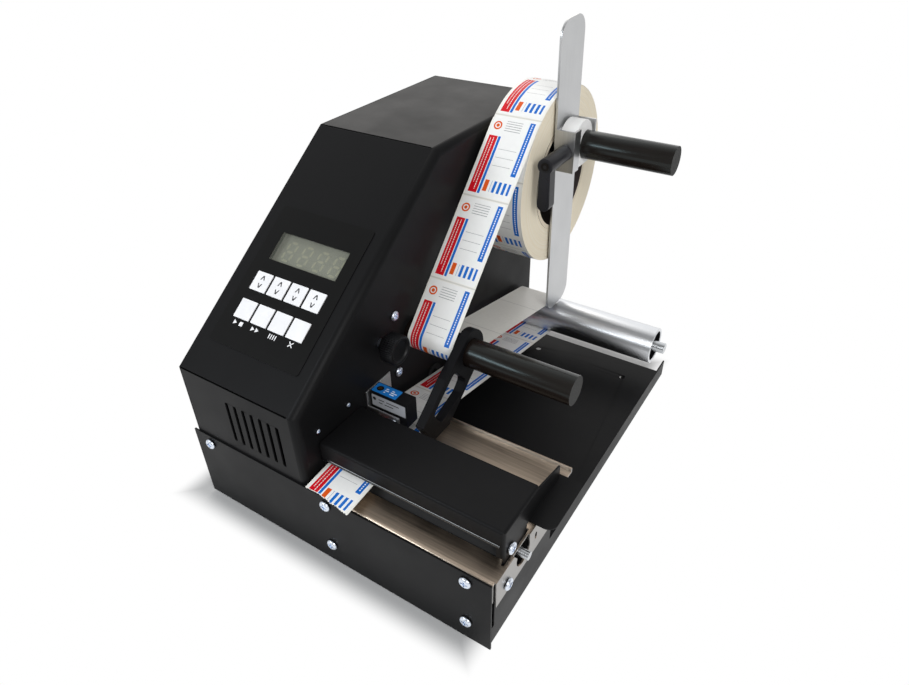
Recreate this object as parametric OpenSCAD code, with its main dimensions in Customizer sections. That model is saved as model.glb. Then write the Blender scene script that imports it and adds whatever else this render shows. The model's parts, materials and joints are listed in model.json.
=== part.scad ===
// Bench label counter. A driven roller pulls a web of labels off a hanging roll,
// and a fork sensor counts them on the way.
// Millimetres, +Z up, front of the machine toward -Y, origin at the middle of the underside of the box.

/* [Base] */
// Width of the front plate
plate_w = 300; // [290:1:310]
// Height of the front plate
plate_h = 76.6; // [75:0.2:77]
// Gap between the front plate and the table
front_gap = 2; // [1.6:0.2:2.4]
// Thickness of the folded sheet
sheet = 1.5; // [1.2:0.1:1.6]
// Step from the rear of the housing to the end of the base pan's right flange
flange_step = 8; // [4:0.5:16]
// Height of the base pan's top face
base_top = 28; // [26:0.5:30]

/* [Housing] */
// Width of the housing
housing_w = 127; // [124:0.5:130]
// Height where the sloped panel starts
slope_z = 147.5; // [146:0.5:150]
// Height of the housing top
top_z = 288.4; // [286:0.2:292]
// Depth that the sloped panel covers
slope_run = 199.1; // [196:0.1:202]
// Depth of the housing
housing_d = 380.5; // [378:0.5:390]
// Outer radius of the bends on the right-hand edges
bend_r = 7; // [5:0.5:9]
// Width of a vent slot
vent_w = 3.4; // [2:0.2:4]

/* [Panel] */
// Side of a key
key_size = 17; // [15:0.2:17.4]
// Spacing of the keys
key_pitch = 19.2; // [19:0.1:20]
// Travel of a key
key_travel = 0.6; // [0.3:0.1:1]
// Width of the display window
window_w = 72.3; // [68:0.1:76]
// Height of the display window
window_h = 26.1; // [24:0.1:28]
// Depth of the display behind the panel
display_depth = 6.2; // [4:0.2:8]

/* [Feed] */
// Diameter of the feed roller
feed_d = 44; // [42:0.5:44.4]
// Diameter of the pressure roller
press_d = 18; // [14:0.5:18.4]
// Diameter of the feed shaft
shaft_d = 7; // [6:0.5:8]
// Height of the pressure cover's top
cover_top = 112; // [111.6:0.2:116]
// Width of the cover's lifting tab
tab_w = 20; // [16:1:24]

/* [Web and roll] */
// Width of the label web
web_w = 45.5; // [35:0.5:46.5]
// Thickness of the label web
web_t = 0.5; // [0.4:0.05:0.6]
// Outer diameter of the label roll
roll_d = 165.4; // [140:0.2:168]
// Inside diameter of the cardboard core
core_d = 95.2; // [90:0.2:98]
// Wall of the cardboard core
core_wall = 4; // [3:0.5:6]
// Diameter of the rear roller
rear_d = 37.2; // [34:0.2:38]
// Diameter of the guide post and the spindle
bar_d = 25.4; // [24:0.2:26]

/* [Guides] */
// Width of the roll guide strip
strip_w = 46; // [42:1:50]
// Length of the roll guide strip
strip_l = 285; // [270:1:286]
// Thickness of the edge guide
edge_t = 8; // [6:0.5:9]
// Length of the clamp lever's arm
lever_l = 35; // [30:1:46]

/* [Clearances] */
// Gap between pieces that move past each other
run_gap = 0.35; // [0.3:0.05:0.4]
// Radial gap of a shaft in its bearing
fit = 0.05; // [0.03:0.01:0.08]

/* [Hidden] */
$fn = 64;
// Front face of everything behind the front plate
back = sheet;
plate_low = front_gap;
plate_high = front_gap + plate_h;
base_left = 1.5;
base_low = 9;
ear_rear = 95;
// Front plate screws, as X and Z
screw_top = plate_high - 8.5;
screw_low = plate_low + 20.9;
plate_holes = [
  [19, screw_top],
  [plate_w/2, screw_top],
  [plate_w - 20.7, screw_top],
  [plate_w/2, screw_low],
  [plate_w - 20.7, screw_low]
];
screw_shank = 4.8;
screw_hole = screw_shank/2 + 0.3;
// Housing outline, seen from the right
housing_left = 4;
wall = housing_left + housing_w;
rear = back + housing_d;
base_plate_rear = rear - 29.5;
base_holes = [wall + 41.9, plate_w - 28.5];
base_hole_r = 2.8;
slope_top_y = back + slope_run;
slope_a = atan2(top_z - slope_z, slope_run);
vents = 7;
vent_pitch = 9.2;
vent_x = 54.5;
vent_z = 89.9;
vent_h = 41.7;
// Panel places: X across and distance up the slope
key_x = 37;
key_rows = [90, 64];
key_hole = key_size + 2*run_gap;
key_lip = 0.8;
key_proud = 1;
key_deep = sheet + run_gap + key_lip;
window_x = key_x + 1.5*key_pitch + 1;
window_s = 124;
overlay_w = 98;
overlay_x = key_x + 1.5*key_pitch - overlay_w/2;
overlay_s = 31;
overlay_l = 129.5;
overlay_t = 0.6;
board_t = 1.6;
board_deep = display_depth + 10;
board_x = housing_left + 10;
board_w = housing_w - 21;
board_s = 40;
board_l = 112;
post_spots = [for (x = [board_x + 5, board_x + board_w - 5], s = [46, 147]) [x, s]];
lens_gap = 0.1;
// Shaft centres, as Y and Z
shaft_r = shaft_d/2;
feed_c = [44, 68];
feed_r = feed_d/2;
feed_x0 = wall + 6;
feed_x1 = plate_w - 8.5;
motor_c = [122, 68];
motor_side = 56;
motor_x0 = wall - 88;
motor_x1 = wall - 32;
motor_shaft_r = 3.2;
motor_boss_r = 19;
pulley_x0 = wall - 18;
pulley_x1 = wall - 6;
motor_pulley_r = 9.5;
feed_pulley_r = 19;
belt_t = 1.5;
bearing_r = 11;
sleeve_r = shaft_r + 3;
deck_top = plate_high + 0.4;
deck_rear = 98;
deck_bend = 3;
deck_bend_y = back + deck_bend;
deck_x0 = wall + 1;
deck_slot = [feed_c[0] - feed_r + 1.5, feed_c[0] + feed_r - 1.5];
plate_x = plate_w;
shelf_top = deck_top + 7;
lip_top = shelf_top + 3.2;
lip_y = 119;
shelf_y = 66.5;
shelf_x1 = plate_w + 3;
notch_x = wall + 45;
// Pressure cover
pivot_c = [30, deck_top + 8.5];
pivot_r = 3;
cover_x0 = wall + 2;
cover_x1 = plate_w - 2;
cover_y = 20;
cover_bend = 2.5;
cover_side_bend = 2.5;
cover_corner = 3;
cover_leg = 6;
leg_z = pivot_c[1] - 3;
cover_rear = 71;
hem_z = pivot_c[1] + 8.5;
hem_r = 1.2;
tab_z = shelf_top + 1;
tab_y0 = 57;
tab_y1 = 110;
press_r = press_d/2;
press_c = [feed_c[0], feed_c[1] + feed_r + 2*run_gap + web_t + press_r];
press_x1 = feed_x1;
// Bars on the wall
bar_r = bar_d/2;
post_c = [149.3, 140.5];
post_x1 = plate_w - 12;
bore_r = 4;
bore_l = 16;
spindle_c = [rear - 49, 264];
spindle_x1 = plate_w - 14.5;
rear_c = [rear - 40.2, 66.2];
rear_r = rear_d/2;
axle_r = 5.5;
roller_x1 = plate_w - 5;
axle_x1 = plate_w + 5;
roller_wall = 3;
// The roll hangs on the spindle
web_x0 = wall + 4.5;
web_x1 = web_x0 + web_w;
core_r = core_d/2;
roll_r = roll_d/2;
roll_c = [spindle_c[0], spindle_c[1] + bar_r + run_gap - core_r];
// Roll guide, edge guide and their clamp
strip_x = wall + 52;
strip_t = 2;
strip_round = 15;
strip_tilt = 1.8;
strip_mid = spindle_c + [-2.5, 107 - strip_l/2];
clamp_x1 = strip_x + 21;
clamp_t = 2;
clamp_ear = 12;
clamp_low = spindle_c[1] - 18;
clamp_high = spindle_c[1] + 19;
bush_front = bar_r + 14.8;
bush_back = bar_r + 1.4;
bush_x0 = strip_x + strip_t + clamp_t;
bush_x1 = clamp_x1 - clamp_t;
clamp_y = spindle_c[0] - bush_front - clamp_t;
clamp_rear = spindle_c[0] + bush_back;
bush_half = (bush_front + bush_back)/2;
bush_mid = [clamp_rear - bush_half, spindle_c[1] + 3];
lever_x = strip_x + 12;
lever_r = 7;
lever_neck = 10;
lever_end_r = 6;
lever_screw_in = 20;
lever_screw_r = 3;
lever_thick = 10;
lever_y1 = clamp_y - run_gap;
lever_y0 = lever_y1 - 38;
edge_x = wall + 53;
edge_r = bar_r + 7.8;
edge_low = shelf_top + 0.6;
edge_nose = [
  post_c - [21.7, -6.9], post_c - [38.9, 3.6], post_c - [56, 17.7], post_c - [72.8, 30.4],
  post_c - [65.3, 44.5], [post_c[0] - 57.3, edge_low], [lip_y - 5, edge_low]
];
edge_slot = [
  post_c - [19.4, 28.2], post_c - [14.7, 23.5], post_c - [25.8, 10.7],
  post_c - [50.8, 28.7], post_c - [45.3, 37]
];
edge_slot_r = 5;
// Fork sensor
sensor_y0 = 84;
sensor_y1 = 97;
sensor_x0 = wall + 1.7;
sensor_x1 = wall + 40;
sensor_top = 120;
sensor_low = 72;
sensor_screw = [sensor_x0 + 27, sensor_top - 19.5];
bracket_y = sensor_y0 - 4;
slot_low = lip_top - 4;
slot_top = lip_top + 7;
knob_c = [105, 155];
knob_r = 13;
knob_x0 = wall + 9;
knob_x1 = wall + 22;
stud_r = 4;
grommet_c = [178, 74];
grommet_r = 8;
grommet_lip = 1.5;
wall_screw_spots = [[126, 170], [125.4, 111.3]];
wall_small_spots = [[58.7, 122], [22.8, 121.6]];
// Rear face
jack_x = 86;
switch_x = 44;
rear_z = 62;
rocker_r = 11.5;
rocker_c = [rear - 5, rear_z];
// The middle of the box
tip = [-8.5, 86.2];
mid_x = (cover_x1 + tab_w)/2;
mid_y = (tip[0] + roll_c[0] + roll_r)/2;

// Moves the machine's own corner to the middle of the box
module framed() {
  translate([-mid_x, -mid_y, 0])
    children();
}

// Extrudes an outline drawn in Y and Z along X
module along_x(x0, x1) {
  translate([x0, 0, 0])
    rotate([90, 0, 90])
      linear_extrude(x1 - x0)
        children();
}

// Extrudes an outline drawn in X and Z along Y
module along_y(y0, y1) {
  translate([0, y1, 0])
    rotate([90, 0, 0])
      linear_extrude(y1 - y0)
        children();
}

module rod_x(c, r, x0, x1) {
  translate([x0, c[0], c[1]])
    rotate([0, 90, 0])
      cylinder(r = r, h = x1 - x0);
}

module rod_y(x, z, r, y0, y1) {
  translate([x, y1, z])
    rotate([90, 0, 0])
      cylinder(r = r, h = y1 - y0);
}

module block(x0, x1, y0, y1, z0, z1) {
  translate([x0, y0, z0])
    cube([x1 - x0, y1 - y0, z1 - z0]);
}

// A straight band with round ends between two points of an outline
module band(p, q, r) {
  d = q - p;
  translate(p)
    circle(r = r);
  translate(q)
    circle(r = r);
  translate(p)
    rotate(atan2(d[1], d[0]))
      translate([0, -r])
        square([norm(d), 2*r]);
}

module rounded(w, h, r) {
  translate([r, 0])
    square([w - 2*r, h]);
  translate([0, r])
    square([w, h - 2*r]);
  for (x = [r, w - r], y = [r, h - r])
    translate([x, y])
      circle(r = r);
}

// Pan head screw with a cross recess, head up from zero and shank down
module pan_screw(head, high, shank, long) {
  difference() {
    rotate_extrude()
      polygon(concat(
        [[0, -long], [shank/2, -long], [shank/2, 0]],
        [for (a = [0:18:90]) [head/2 - 0.7*high + 0.7*high*cos(a), 0.3*high + 0.7*high*sin(a)]],
        [[0, high]]
      ));
    for (a = [0, 90])
      rotate(a)
        translate([-0.3*head, -0.07*head, 0.45*high])
          cube([0.6*head, 0.14*head, high]);
  }
}

// Housing outline moved inward
function outline(i, low) = [
  [back + i, low],
  [back + i, slope_z - i*tan(45 - slope_a/2)],
  [slope_top_y + i*tan(slope_a/2), top_z - i],
  [rear - i, top_z - i],
  [rear - i, low]
];

// Removes the corner outside a bend along one right-hand edge
module bend_cut(p, a, long, x, r) {
  translate([x, p[0], p[1]])
    rotate([a - 90, 0, 0])
      translate([0, 0, -20])
        linear_extrude(long + 40)
          difference() {
            translate([-r, -1])
              square([r + 1, r + 1]);
            translate([-r, r])
              circle(r = r);
          }
}

module housing_solid(i, x0, low) {
  p = outline(i, low);
  difference() {
    along_x(x0, wall - i)
      polygon(p);
    bend_cut(p[0], 90, p[1][1] - low, wall - i, bend_r - i);
    bend_cut(p[1], slope_a, norm(p[2] - p[1]), wall - i, bend_r - i);
    bend_cut(p[2], 0, p[3][0] - p[2][0], wall - i, bend_r - i);
    bend_cut(p[3], -90, top_z - low, wall - i, bend_r - i);
  }
}

// Puts children on the sloped panel: X across, Y up the slope, Z outward
module on_slope() {
  translate([0, back, slope_z])
    rotate([slope_a, 0, 0])
      children();
}

module window_block(grow, z0, z1) {
  on_slope()
    translate([window_x - window_w/2 - grow, window_s - window_h/2 - grow, z0])
      cube([window_w + 2*grow, window_h + 2*grow, z1 - z0]);
}

module key_block(col, row, side, z0, z1) {
  on_slope()
    translate([key_x + col*key_pitch - side/2, key_rows[row] - side/2, z0])
      cube([side, side, z1 - z0]);
}

// Normal of the line that touches two circles; a negative radius puts the line on that circle's other side
function touch(c1, r1, c2, r2, s) =
  let (d = c2 - c1, u = d/norm(d), k = (r1 - r2)/norm(d))
  k*u + s*sqrt(1 - k*k)*[-u[1], u[0]];
function heading(n) = atan2(n[1], n[0]);
function arc(c, r, a0, a1, n) = [for (i = [0:n]) c + r*[cos(a0 + (a1 - a0)*i/n), sin(a0 + (a1 - a0)*i/n)]];
// Arcs of one radius round the corners of a loop that runs to the left
function soft_loop(c, r) = [
  for (i = [0:len(c) - 1], k = [0:4])
    let (
      n = len(c),
      a = heading(c[i] - c[(i + n - 1)%n]) - 90,
      b = heading(c[(i + 1)%n] - c[i]) - 90,
      t = a + (b < a ? b + 360 - a : b - a)*k/4
    )
    c[i] + r*[cos(t), sin(t)]
];
function flip(p) = [for (i = [len(p) - 1:-1:0]) p[i]];

// Web path: roll, under the post, round the rear roller, over the shelf lip, through the nip and out
web_gap = run_gap + web_t/2;
lip_c = [lip_y + sheet, lip_top];
to_post = touch(roll_c, roll_r + web_gap, post_c, bar_r + web_gap, -1);
to_rear = touch(post_c, bar_r + web_gap, rear_c, -rear_r - web_gap, -1);
to_lip = touch(rear_c, rear_r + web_gap, lip_c, -web_gap, 1);
to_nip = touch(lip_c, web_gap, feed_c, feed_r + web_gap, -1);
to_tip = touch(feed_c, feed_r + web_gap, tip, 0, -1);
function web_side(h) = concat(
  arc(roll_c, roll_r + web_gap - h, heading(to_post) - 6, heading(to_post), 2),
  arc(post_c, bar_r + web_gap - h, heading(to_post), heading(to_rear) + 360, 16),
  arc(rear_c, rear_r + web_gap + h, heading(to_rear) + 180, heading(to_lip), 20),
  arc(lip_c, web_gap - h, heading(to_lip) + 180, heading(to_nip), 2),
  arc(feed_c, feed_r + web_gap - h, heading(to_nip), heading(to_tip), 2),
  [tip - h*to_tip]
);

// Outline inside a belt on the two pulleys
module belt_outline(grow) {
  r1 = feed_pulley_r + run_gap + grow;
  r2 = motor_pulley_r + run_gap + grow;
  up = touch(feed_c, r1, motor_c, r2, 1);
  down = touch(feed_c, r1, motor_c, r2, -1);
  translate(feed_c)
    circle(r = r1);
  translate(motor_c)
    circle(r = r2);
  polygon([feed_c + r1*down, motor_c + r2*down, motor_c + r2*up, feed_c + r1*up]);
}

// Flared notch over the end of the feed shaft
module shaft_notch(grow) {
  translate(feed_c)
    circle(r = 10.3 + grow);
  polygon([
    feed_c + [-15.5 - grow, 13], feed_c + [-9.4 - grow, 4.2],
    feed_c + [9.2 + grow, 4.2], feed_c + [9.2 + grow, 13]
  ]);
}

module base_pan() {
  color("#2c2c2e")
    framed()
      difference() {
        union() {
          block(base_left, plate_w, back, base_plate_rear, base_top - sheet, base_top);
          block(base_left, wall, back, rear, base_top - sheet, base_top);
          block(base_left, base_left + sheet, back, rear, base_low, base_top);
          block(plate_w - sheet, plate_w, back, rear - flange_step, base_low, base_top);
          block(plate_w - sheet, plate_w, deck_bend_y + run_gap, ear_rear, base_low, deck_top - sheet);
          block(base_left, plate_w, back, back + sheet, base_low, base_top);
        }
        for (p = plate_holes)
          rod_y(p[0], p[1], screw_hole, -1, 12);
        along_x(plate_w - 5, plate_w + 5)
          shaft_notch(1);
        rod_x([20.3, 60.5], screw_hole, plate_w - 5, plate_w + 5);
        for (x = base_holes)
          translate([x, base_plate_rear - 29, 0])
            cylinder(r = base_hole_r, h = 2*base_top);
      }
}

module front_plate() {
  color("#353537")
    framed()
      difference() {
        block(0, plate_w, 0, sheet, plate_low, plate_high);
        for (p = plate_holes)
          rod_y(p[0], p[1], screw_hole, -1, sheet + 1);
      }
}

module plate_screws() {
  color("#c9ced4")
    framed() {
      for (p = plate_holes)
        translate([p[0], 0, p[1]])
          rotate([90, 0, 0])
            pan_screw(10, 2.8, screw_shank, 6);
      translate([plate_w + sheet, 20.3, 60.5])
        rotate([0, 90, 0])
          pan_screw(10, 2.8, screw_shank, 6);
    }
}

module rubber_feet() {
  color("#1b1b1b")
    framed()
      for (x = [22, plate_w - 22], y = [32, base_plate_rear - 18])
        translate([x, y, 0])
          cylinder(r1 = 9, r2 = 11, h = base_top - sheet);
}

module housing_shell() {
  color("#232220")
    framed()
      difference() {
        housing_solid(0, housing_left + sheet, base_top);
        housing_solid(sheet, housing_left - 1, base_top - 1);
        for (i = [0:vents - 1])
          along_y(back - 1, back + 12)
            translate([vent_x + i*vent_pitch, vent_z])
              band([0, vent_w/2], [0, vent_h - vent_w/2], vent_w/2);
        translate([housing_left, back, slope_z])
          rotate([45 + slope_a/2, 0, 0])
            translate([0, -0.6, -6])
              cube([housing_w - bend_r - 1, 1.2, 12]);
        translate([housing_left, slope_top_y, top_z])
          rotate([slope_a/2, 0, 0])
            translate([0, -0.6, -6])
              cube([housing_w - bend_r - 1, 1.2, 12]);
        window_block(0, -5, 5);
        for (col = [0:3], row = [0, 1])
          key_block(col, row, key_hole, -5, 5);
        rod_y(plate_holes[0][0], plate_holes[0][1], screw_hole, -1, 12);
        rod_x(feed_c, bearing_r, wall - 10, wall + 10);
        rod_x(pivot_c, pivot_r, wall - 10, wall + 10);
        rod_x(rear_c, axle_r, wall - 10, wall + 10);
        rod_x(post_c, 4.2, wall - 10, wall + 10);
        rod_x(spindle_c, 4.2, wall - 10, wall + 10);
        rod_x(knob_c, stud_r, wall - 10, wall + 10);
        rod_x(grommet_c, grommet_r + 0.1, wall - 10, wall + 10);
        for (p = wall_screw_spots)
          rod_x(p, 2.2, wall - 10, wall + 10);
        for (p = wall_small_spots)
          rod_x(p, 1.4, wall - 10, wall + 10);
        rod_y(jack_x, rear_z, 6, rear - 10, rear + 10);
        block(switch_x - 10, switch_x + 10, rear - 10, rear + 10, rear_z - 14, rear_z + 14);
      }
}

module left_panel() {
  color("#28282a")
    framed()
      along_x(housing_left, housing_left + sheet)
        polygon(outline(0, base_top));
}

module wall_screws() {
  color("#d3d8de")
    framed() {
      for (p = wall_screw_spots)
        translate([wall, p[0], p[1]])
          rotate([0, 90, 0])
            pan_screw(9, 2.6, 4, 6);
      for (p = wall_small_spots)
        translate([wall, p[0], p[1]])
          rotate([0, 90, 0])
            pan_screw(4, 1.4, 2.4, 5);
    }
}

module panel_overlay() {
  color("#1d1d1f")
    framed()
      difference() {
        on_slope()
          translate([overlay_x, overlay_s, 0])
            linear_extrude(overlay_t)
              rounded(overlay_w, overlay_l, 3);
        window_block(0, -5, 5);
        for (col = [0:3], row = [0, 1])
          key_block(col, row, key_hole, -5, 5);
      }
}

module display_window() {
  color("#4a4e4c")
    framed()
      window_block(-lens_gap, -sheet, 0.3);
}

module display_module() {
  color("#8f9290")
    framed()
      window_block(3, -board_deep, -display_depth);
}

module control_board() {
  color("#2f6b45")
    framed()
      difference() {
        on_slope()
          translate([board_x, board_s, -board_deep - board_t])
            cube([board_w, board_l, board_t]);
        on_slope()
          for (p = post_spots)
            translate([p[0], p[1], -board_deep - 5])
              cylinder(r = 1.6, h = 10);
      }
}

module board_standoffs() {
  color("#c2c6ca")
    framed()
      on_slope()
        for (p = post_spots)
          translate([p[0], p[1], -board_deep])
            cylinder(r = 3.2, h = board_deep - sheet);
}

module key_switches() {
  color("#26262a")
    framed()
      for (col = [0:3], row = [0, 1])
        key_block(col, row, 6, -board_deep, -key_deep - key_travel - run_gap);
}

module key_cap(col, row) {
  key_block(col, row, key_size, -key_deep, key_proud);
  key_block(col, row, key_size + 1.2, -key_deep, -key_deep + key_lip);
}

module digit_key_1() {
  color("#e9e9e6")
    framed()
      key_cap(0, 0);
}

module digit_key_2() {
  color("#e9e9e6")
    framed()
      key_cap(1, 0);
}

module digit_key_3() {
  color("#e9e9e6")
    framed()
      key_cap(2, 0);
}

module digit_key_4() {
  color("#e9e9e6")
    framed()
      key_cap(3, 0);
}

module function_key_1() {
  color("#e9e9e6")
    framed()
      key_cap(0, 1);
}

module function_key_2() {
  color("#e9e9e6")
    framed()
      key_cap(1, 1);
}

module function_key_3() {
  color("#e9e9e6")
    framed()
      key_cap(2, 1);
}

module function_key_4() {
  color("#e9e9e6")
    framed()
      key_cap(3, 1);
}

module power_jack() {
  color("#1c1c1e")
    framed() {
      difference() {
        union() {
          rod_y(jack_x, rear_z, 6, rear - 16, rear);
          rod_y(jack_x, rear_z, 8.5, rear, rear + 2);
        }
        rod_y(jack_x, rear_z, 2.9, rear - 10, rear + 3);
      }
      rod_y(jack_x, rear_z, 1.1, rear - 10, rear - 0.5);
    }
}

module switch_frame() {
  color("#1c1c1e")
    framed()
      difference() {
        union() {
          block(switch_x - 10, switch_x + 10, rear - 20, rear, rear_z - 14, rear_z + 14);
          block(switch_x - 12, switch_x + 12, rear, rear + 2, rear_z - 16, rear_z + 16);
        }
        rod_x(rocker_c, rocker_r + run_gap, switch_x - 8 - run_gap, switch_x + 8 + run_gap);
      }
}

module power_rocker() {
  color("#26262a")
    framed()
      along_x(switch_x - 8, switch_x + 8)
        translate(rocker_c)
          rotate(10)
            polygon([[-4, -8], [3, -11], [8.4, -7.6], [6.8, 0], [8.4, 7.6], [3, 11], [-4, 8]]);
}

module cable_grommet() {
  color("#151515")
    framed()
      difference() {
        union() {
          rod_x(grommet_c, grommet_r, wall - sheet - grommet_lip, wall + grommet_lip);
          rod_x(grommet_c, grommet_r + 2.5, wall - sheet - grommet_lip, wall - sheet);
          rod_x(grommet_c, grommet_r + 2.5, wall, wall + grommet_lip);
        }
        rod_x(grommet_c, grommet_r - 3, wall - sheet - grommet_lip - 1, wall + grommet_lip + 1);
      }
}

module drive_motor() {
  color("#2a2b2d")
    framed()
      difference() {
        union() {
          block(motor_x0, motor_x1, motor_c[0] - motor_side/2, motor_c[0] + motor_side/2,
            motor_c[1] - motor_side/2, motor_c[1] + motor_side/2);
          rod_x(motor_c, motor_boss_r, motor_x1, motor_x1 + 1.6);
        }
        rod_x(motor_c, motor_shaft_r + fit, motor_x0 + 15, motor_x1 + 5);
      }
}

module motor_bracket() {
  color("#b9bcc0")
    framed()
      difference() {
        union() {
          block(motor_x1, motor_x1 + 3, motor_c[0] - 32, motor_c[0] + 32, base_top, motor_c[1] + 32);
          block(motor_x1, motor_x1 + 12, motor_c[0] - 32, motor_c[0] + 32, base_top, base_top + 3);
        }
        rod_x(motor_c, motor_boss_r + 0.1, motor_x1 - 1, motor_x1 + 5);
      }
}

module motor_shaft() {
  color("#c9cdd1")
    framed()
      rod_x(motor_c, motor_shaft_r, motor_x0 + 17, pulley_x1 + 1);
}

// Belt pulley with a flange on each side
module pulley(c, r, bore) {
  difference() {
    union() {
      rod_x(c, r, pulley_x0, pulley_x1);
      rod_x(c, r + 2.5, pulley_x0, pulley_x0 + 1.2);
      rod_x(c, r + 2.5, pulley_x1 - 1.2, pulley_x1);
    }
    rod_x(c, bore, pulley_x0 - 1, pulley_x1 + 1);
  }
}

module motor_pulley() {
  color("#aeb2b6")
    framed()
      pulley(motor_c, motor_pulley_r, motor_shaft_r);
}

module feed_pulley() {
  color("#aeb2b6")
    framed()
      pulley(feed_c, feed_pulley_r, shaft_r);
}

module drive_belt() {
  color("#18181a")
    framed()
      along_x(pulley_x0 + 1.2 + run_gap, pulley_x1 - 1.2 - run_gap)
        difference() {
          belt_outline(belt_t);
          belt_outline(0);
        }
}

module feed_deck() {
  color("#c9c5bd")
    framed()
      difference() {
        union() {
          block(deck_x0, plate_x + sheet, deck_bend_y, deck_rear, deck_top - sheet, deck_top);
          block(deck_x0, plate_x, back, back + sheet, base_top + 30, deck_top - deck_bend);
          along_x(deck_x0, plate_x)
            intersection() {
              difference() {
                translate([deck_bend_y, deck_top - deck_bend])
                  circle(r = deck_bend);
                translate([deck_bend_y, deck_top - deck_bend])
                  circle(r = deck_bend - sheet);
              }
              translate([back, deck_top - deck_bend])
                square(deck_bend);
            }
          along_x(plate_x, plate_x + sheet)
            difference() {
              translate([deck_bend_y, base_top + 23])
                square([deck_rear - deck_bend_y, deck_top - base_top - 23]);
              band([63.8, 65], [63.8, 69], 1.6);
            }
          along_x(feed_x1 + 1, feed_x1 + 2.6) {
            intersection() {
              band(pivot_c, pivot_c - [0, 20], 5.5);
              translate([0, deck_top - sheet])
                square([60, 40]);
            }
            translate(feed_c)
              circle(r = 11);
            translate(feed_c - [10, 0])
              square([20, deck_top - feed_c[1]]);
          }
        }
        block(deck_x0 + 3, feed_x1 + 0.7, deck_slot[0], deck_slot[1], deck_top - 5, deck_top + 5);
        block(deck_x0 - 1, notch_x, shelf_y, deck_rear + 1, deck_top - 5, deck_top + 5);
        rod_x(pivot_c, 2.5, feed_x1, feed_x1 + 5);
        rod_x(feed_c, sleeve_r + 0.1, feed_x1, feed_x1 + 5);
        along_x(plate_x, plate_x + 5)
          shaft_notch(0);
        block(cover_x1 - sheet - run_gap, cover_x1 + run_gap, cover_y - 0.8, 57, deck_top - 5, deck_top + 5);
        rod_x([20.3, 60.5], screw_hole, plate_x - 5, plate_x + 5);
        for (p = plate_holes)
          rod_y(p[0], p[1], screw_hole, -1, 12);
      }
}

module rear_shelf() {
  color("#cfccc6")
    framed()
      difference() {
        union() {
          block(deck_x0, shelf_x1, shelf_y, lip_y + sheet, shelf_top - sheet, shelf_top);
          block(deck_x0, shelf_x1, lip_y, lip_y + sheet, shelf_top - sheet, lip_top);
          block(notch_x, feed_x1, shelf_y, shelf_y + sheet, deck_top, shelf_top);
        }
        block(deck_x0 - 1, notch_x, shelf_y - 1, 104, shelf_top - 5, shelf_top + 10);
      }
}

module feed_bearings() {
  color("#b4b7ba")
    framed() {
      difference() {
        rod_x(feed_c, bearing_r, wall - 5, deck_x0 - run_gap);
        rod_x(feed_c, shaft_r + fit, wall - 6, wall + 3);
      }
      difference() {
        rod_x(feed_c, sleeve_r, feed_x1 + 0.6, feed_x1 + 3.8);
        rod_x(feed_c, shaft_r + fit, feed_x1, feed_x1 + 5);
      }
    }
}

module feed_shaft() {
  color("#c6c8ca")
    framed()
      rod_x(feed_c, shaft_r, pulley_x0 - 1, plate_w + 6.5);
}

module feed_roller() {
  color("#2a2a2c")
    framed()
      difference() {
        rod_x(feed_c, feed_r, feed_x0, feed_x1);
        rod_x(feed_c, shaft_r, feed_x0 - 1, feed_x1 + 1);
      }
}

// Outside of the folded cover, or its inside when moved in by the sheet
module cover_form(i) {
  intersection() {
    along_x(cover_x0 - i, cover_x1 - i)
      polygon(concat(
        [[cover_y + i, feed_c[1]]],
        arc([cover_y + cover_bend, cover_top - cover_bend], cover_bend - i, 180, 90, 8),
        [[cover_rear + i, cover_top - i], [cover_rear + i, feed_c[1]]]
      ));
    along_y(cover_y, cover_rear + i)
      polygon(concat(
        [[cover_x0 - i, feed_c[1]], [cover_x0 - i, cover_top - i]],
        arc([cover_x1 - cover_side_bend, cover_top - cover_side_bend], cover_side_bend - i, 90, 0, 8),
        [[cover_x1 - i, feed_c[1]]]
      ));
    translate([0, 0, feed_c[1]])
      linear_extrude(cover_top - feed_c[1])
        polygon(concat(
          [[cover_x0 - i, cover_rear + i], [cover_x0 - i, cover_y + i]],
          arc([cover_x1 - cover_corner, cover_y + cover_corner], cover_corner - i, -90, 0, 6),
          [[cover_x1 - i, cover_rear + i]]
        ));
  }
}

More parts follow.
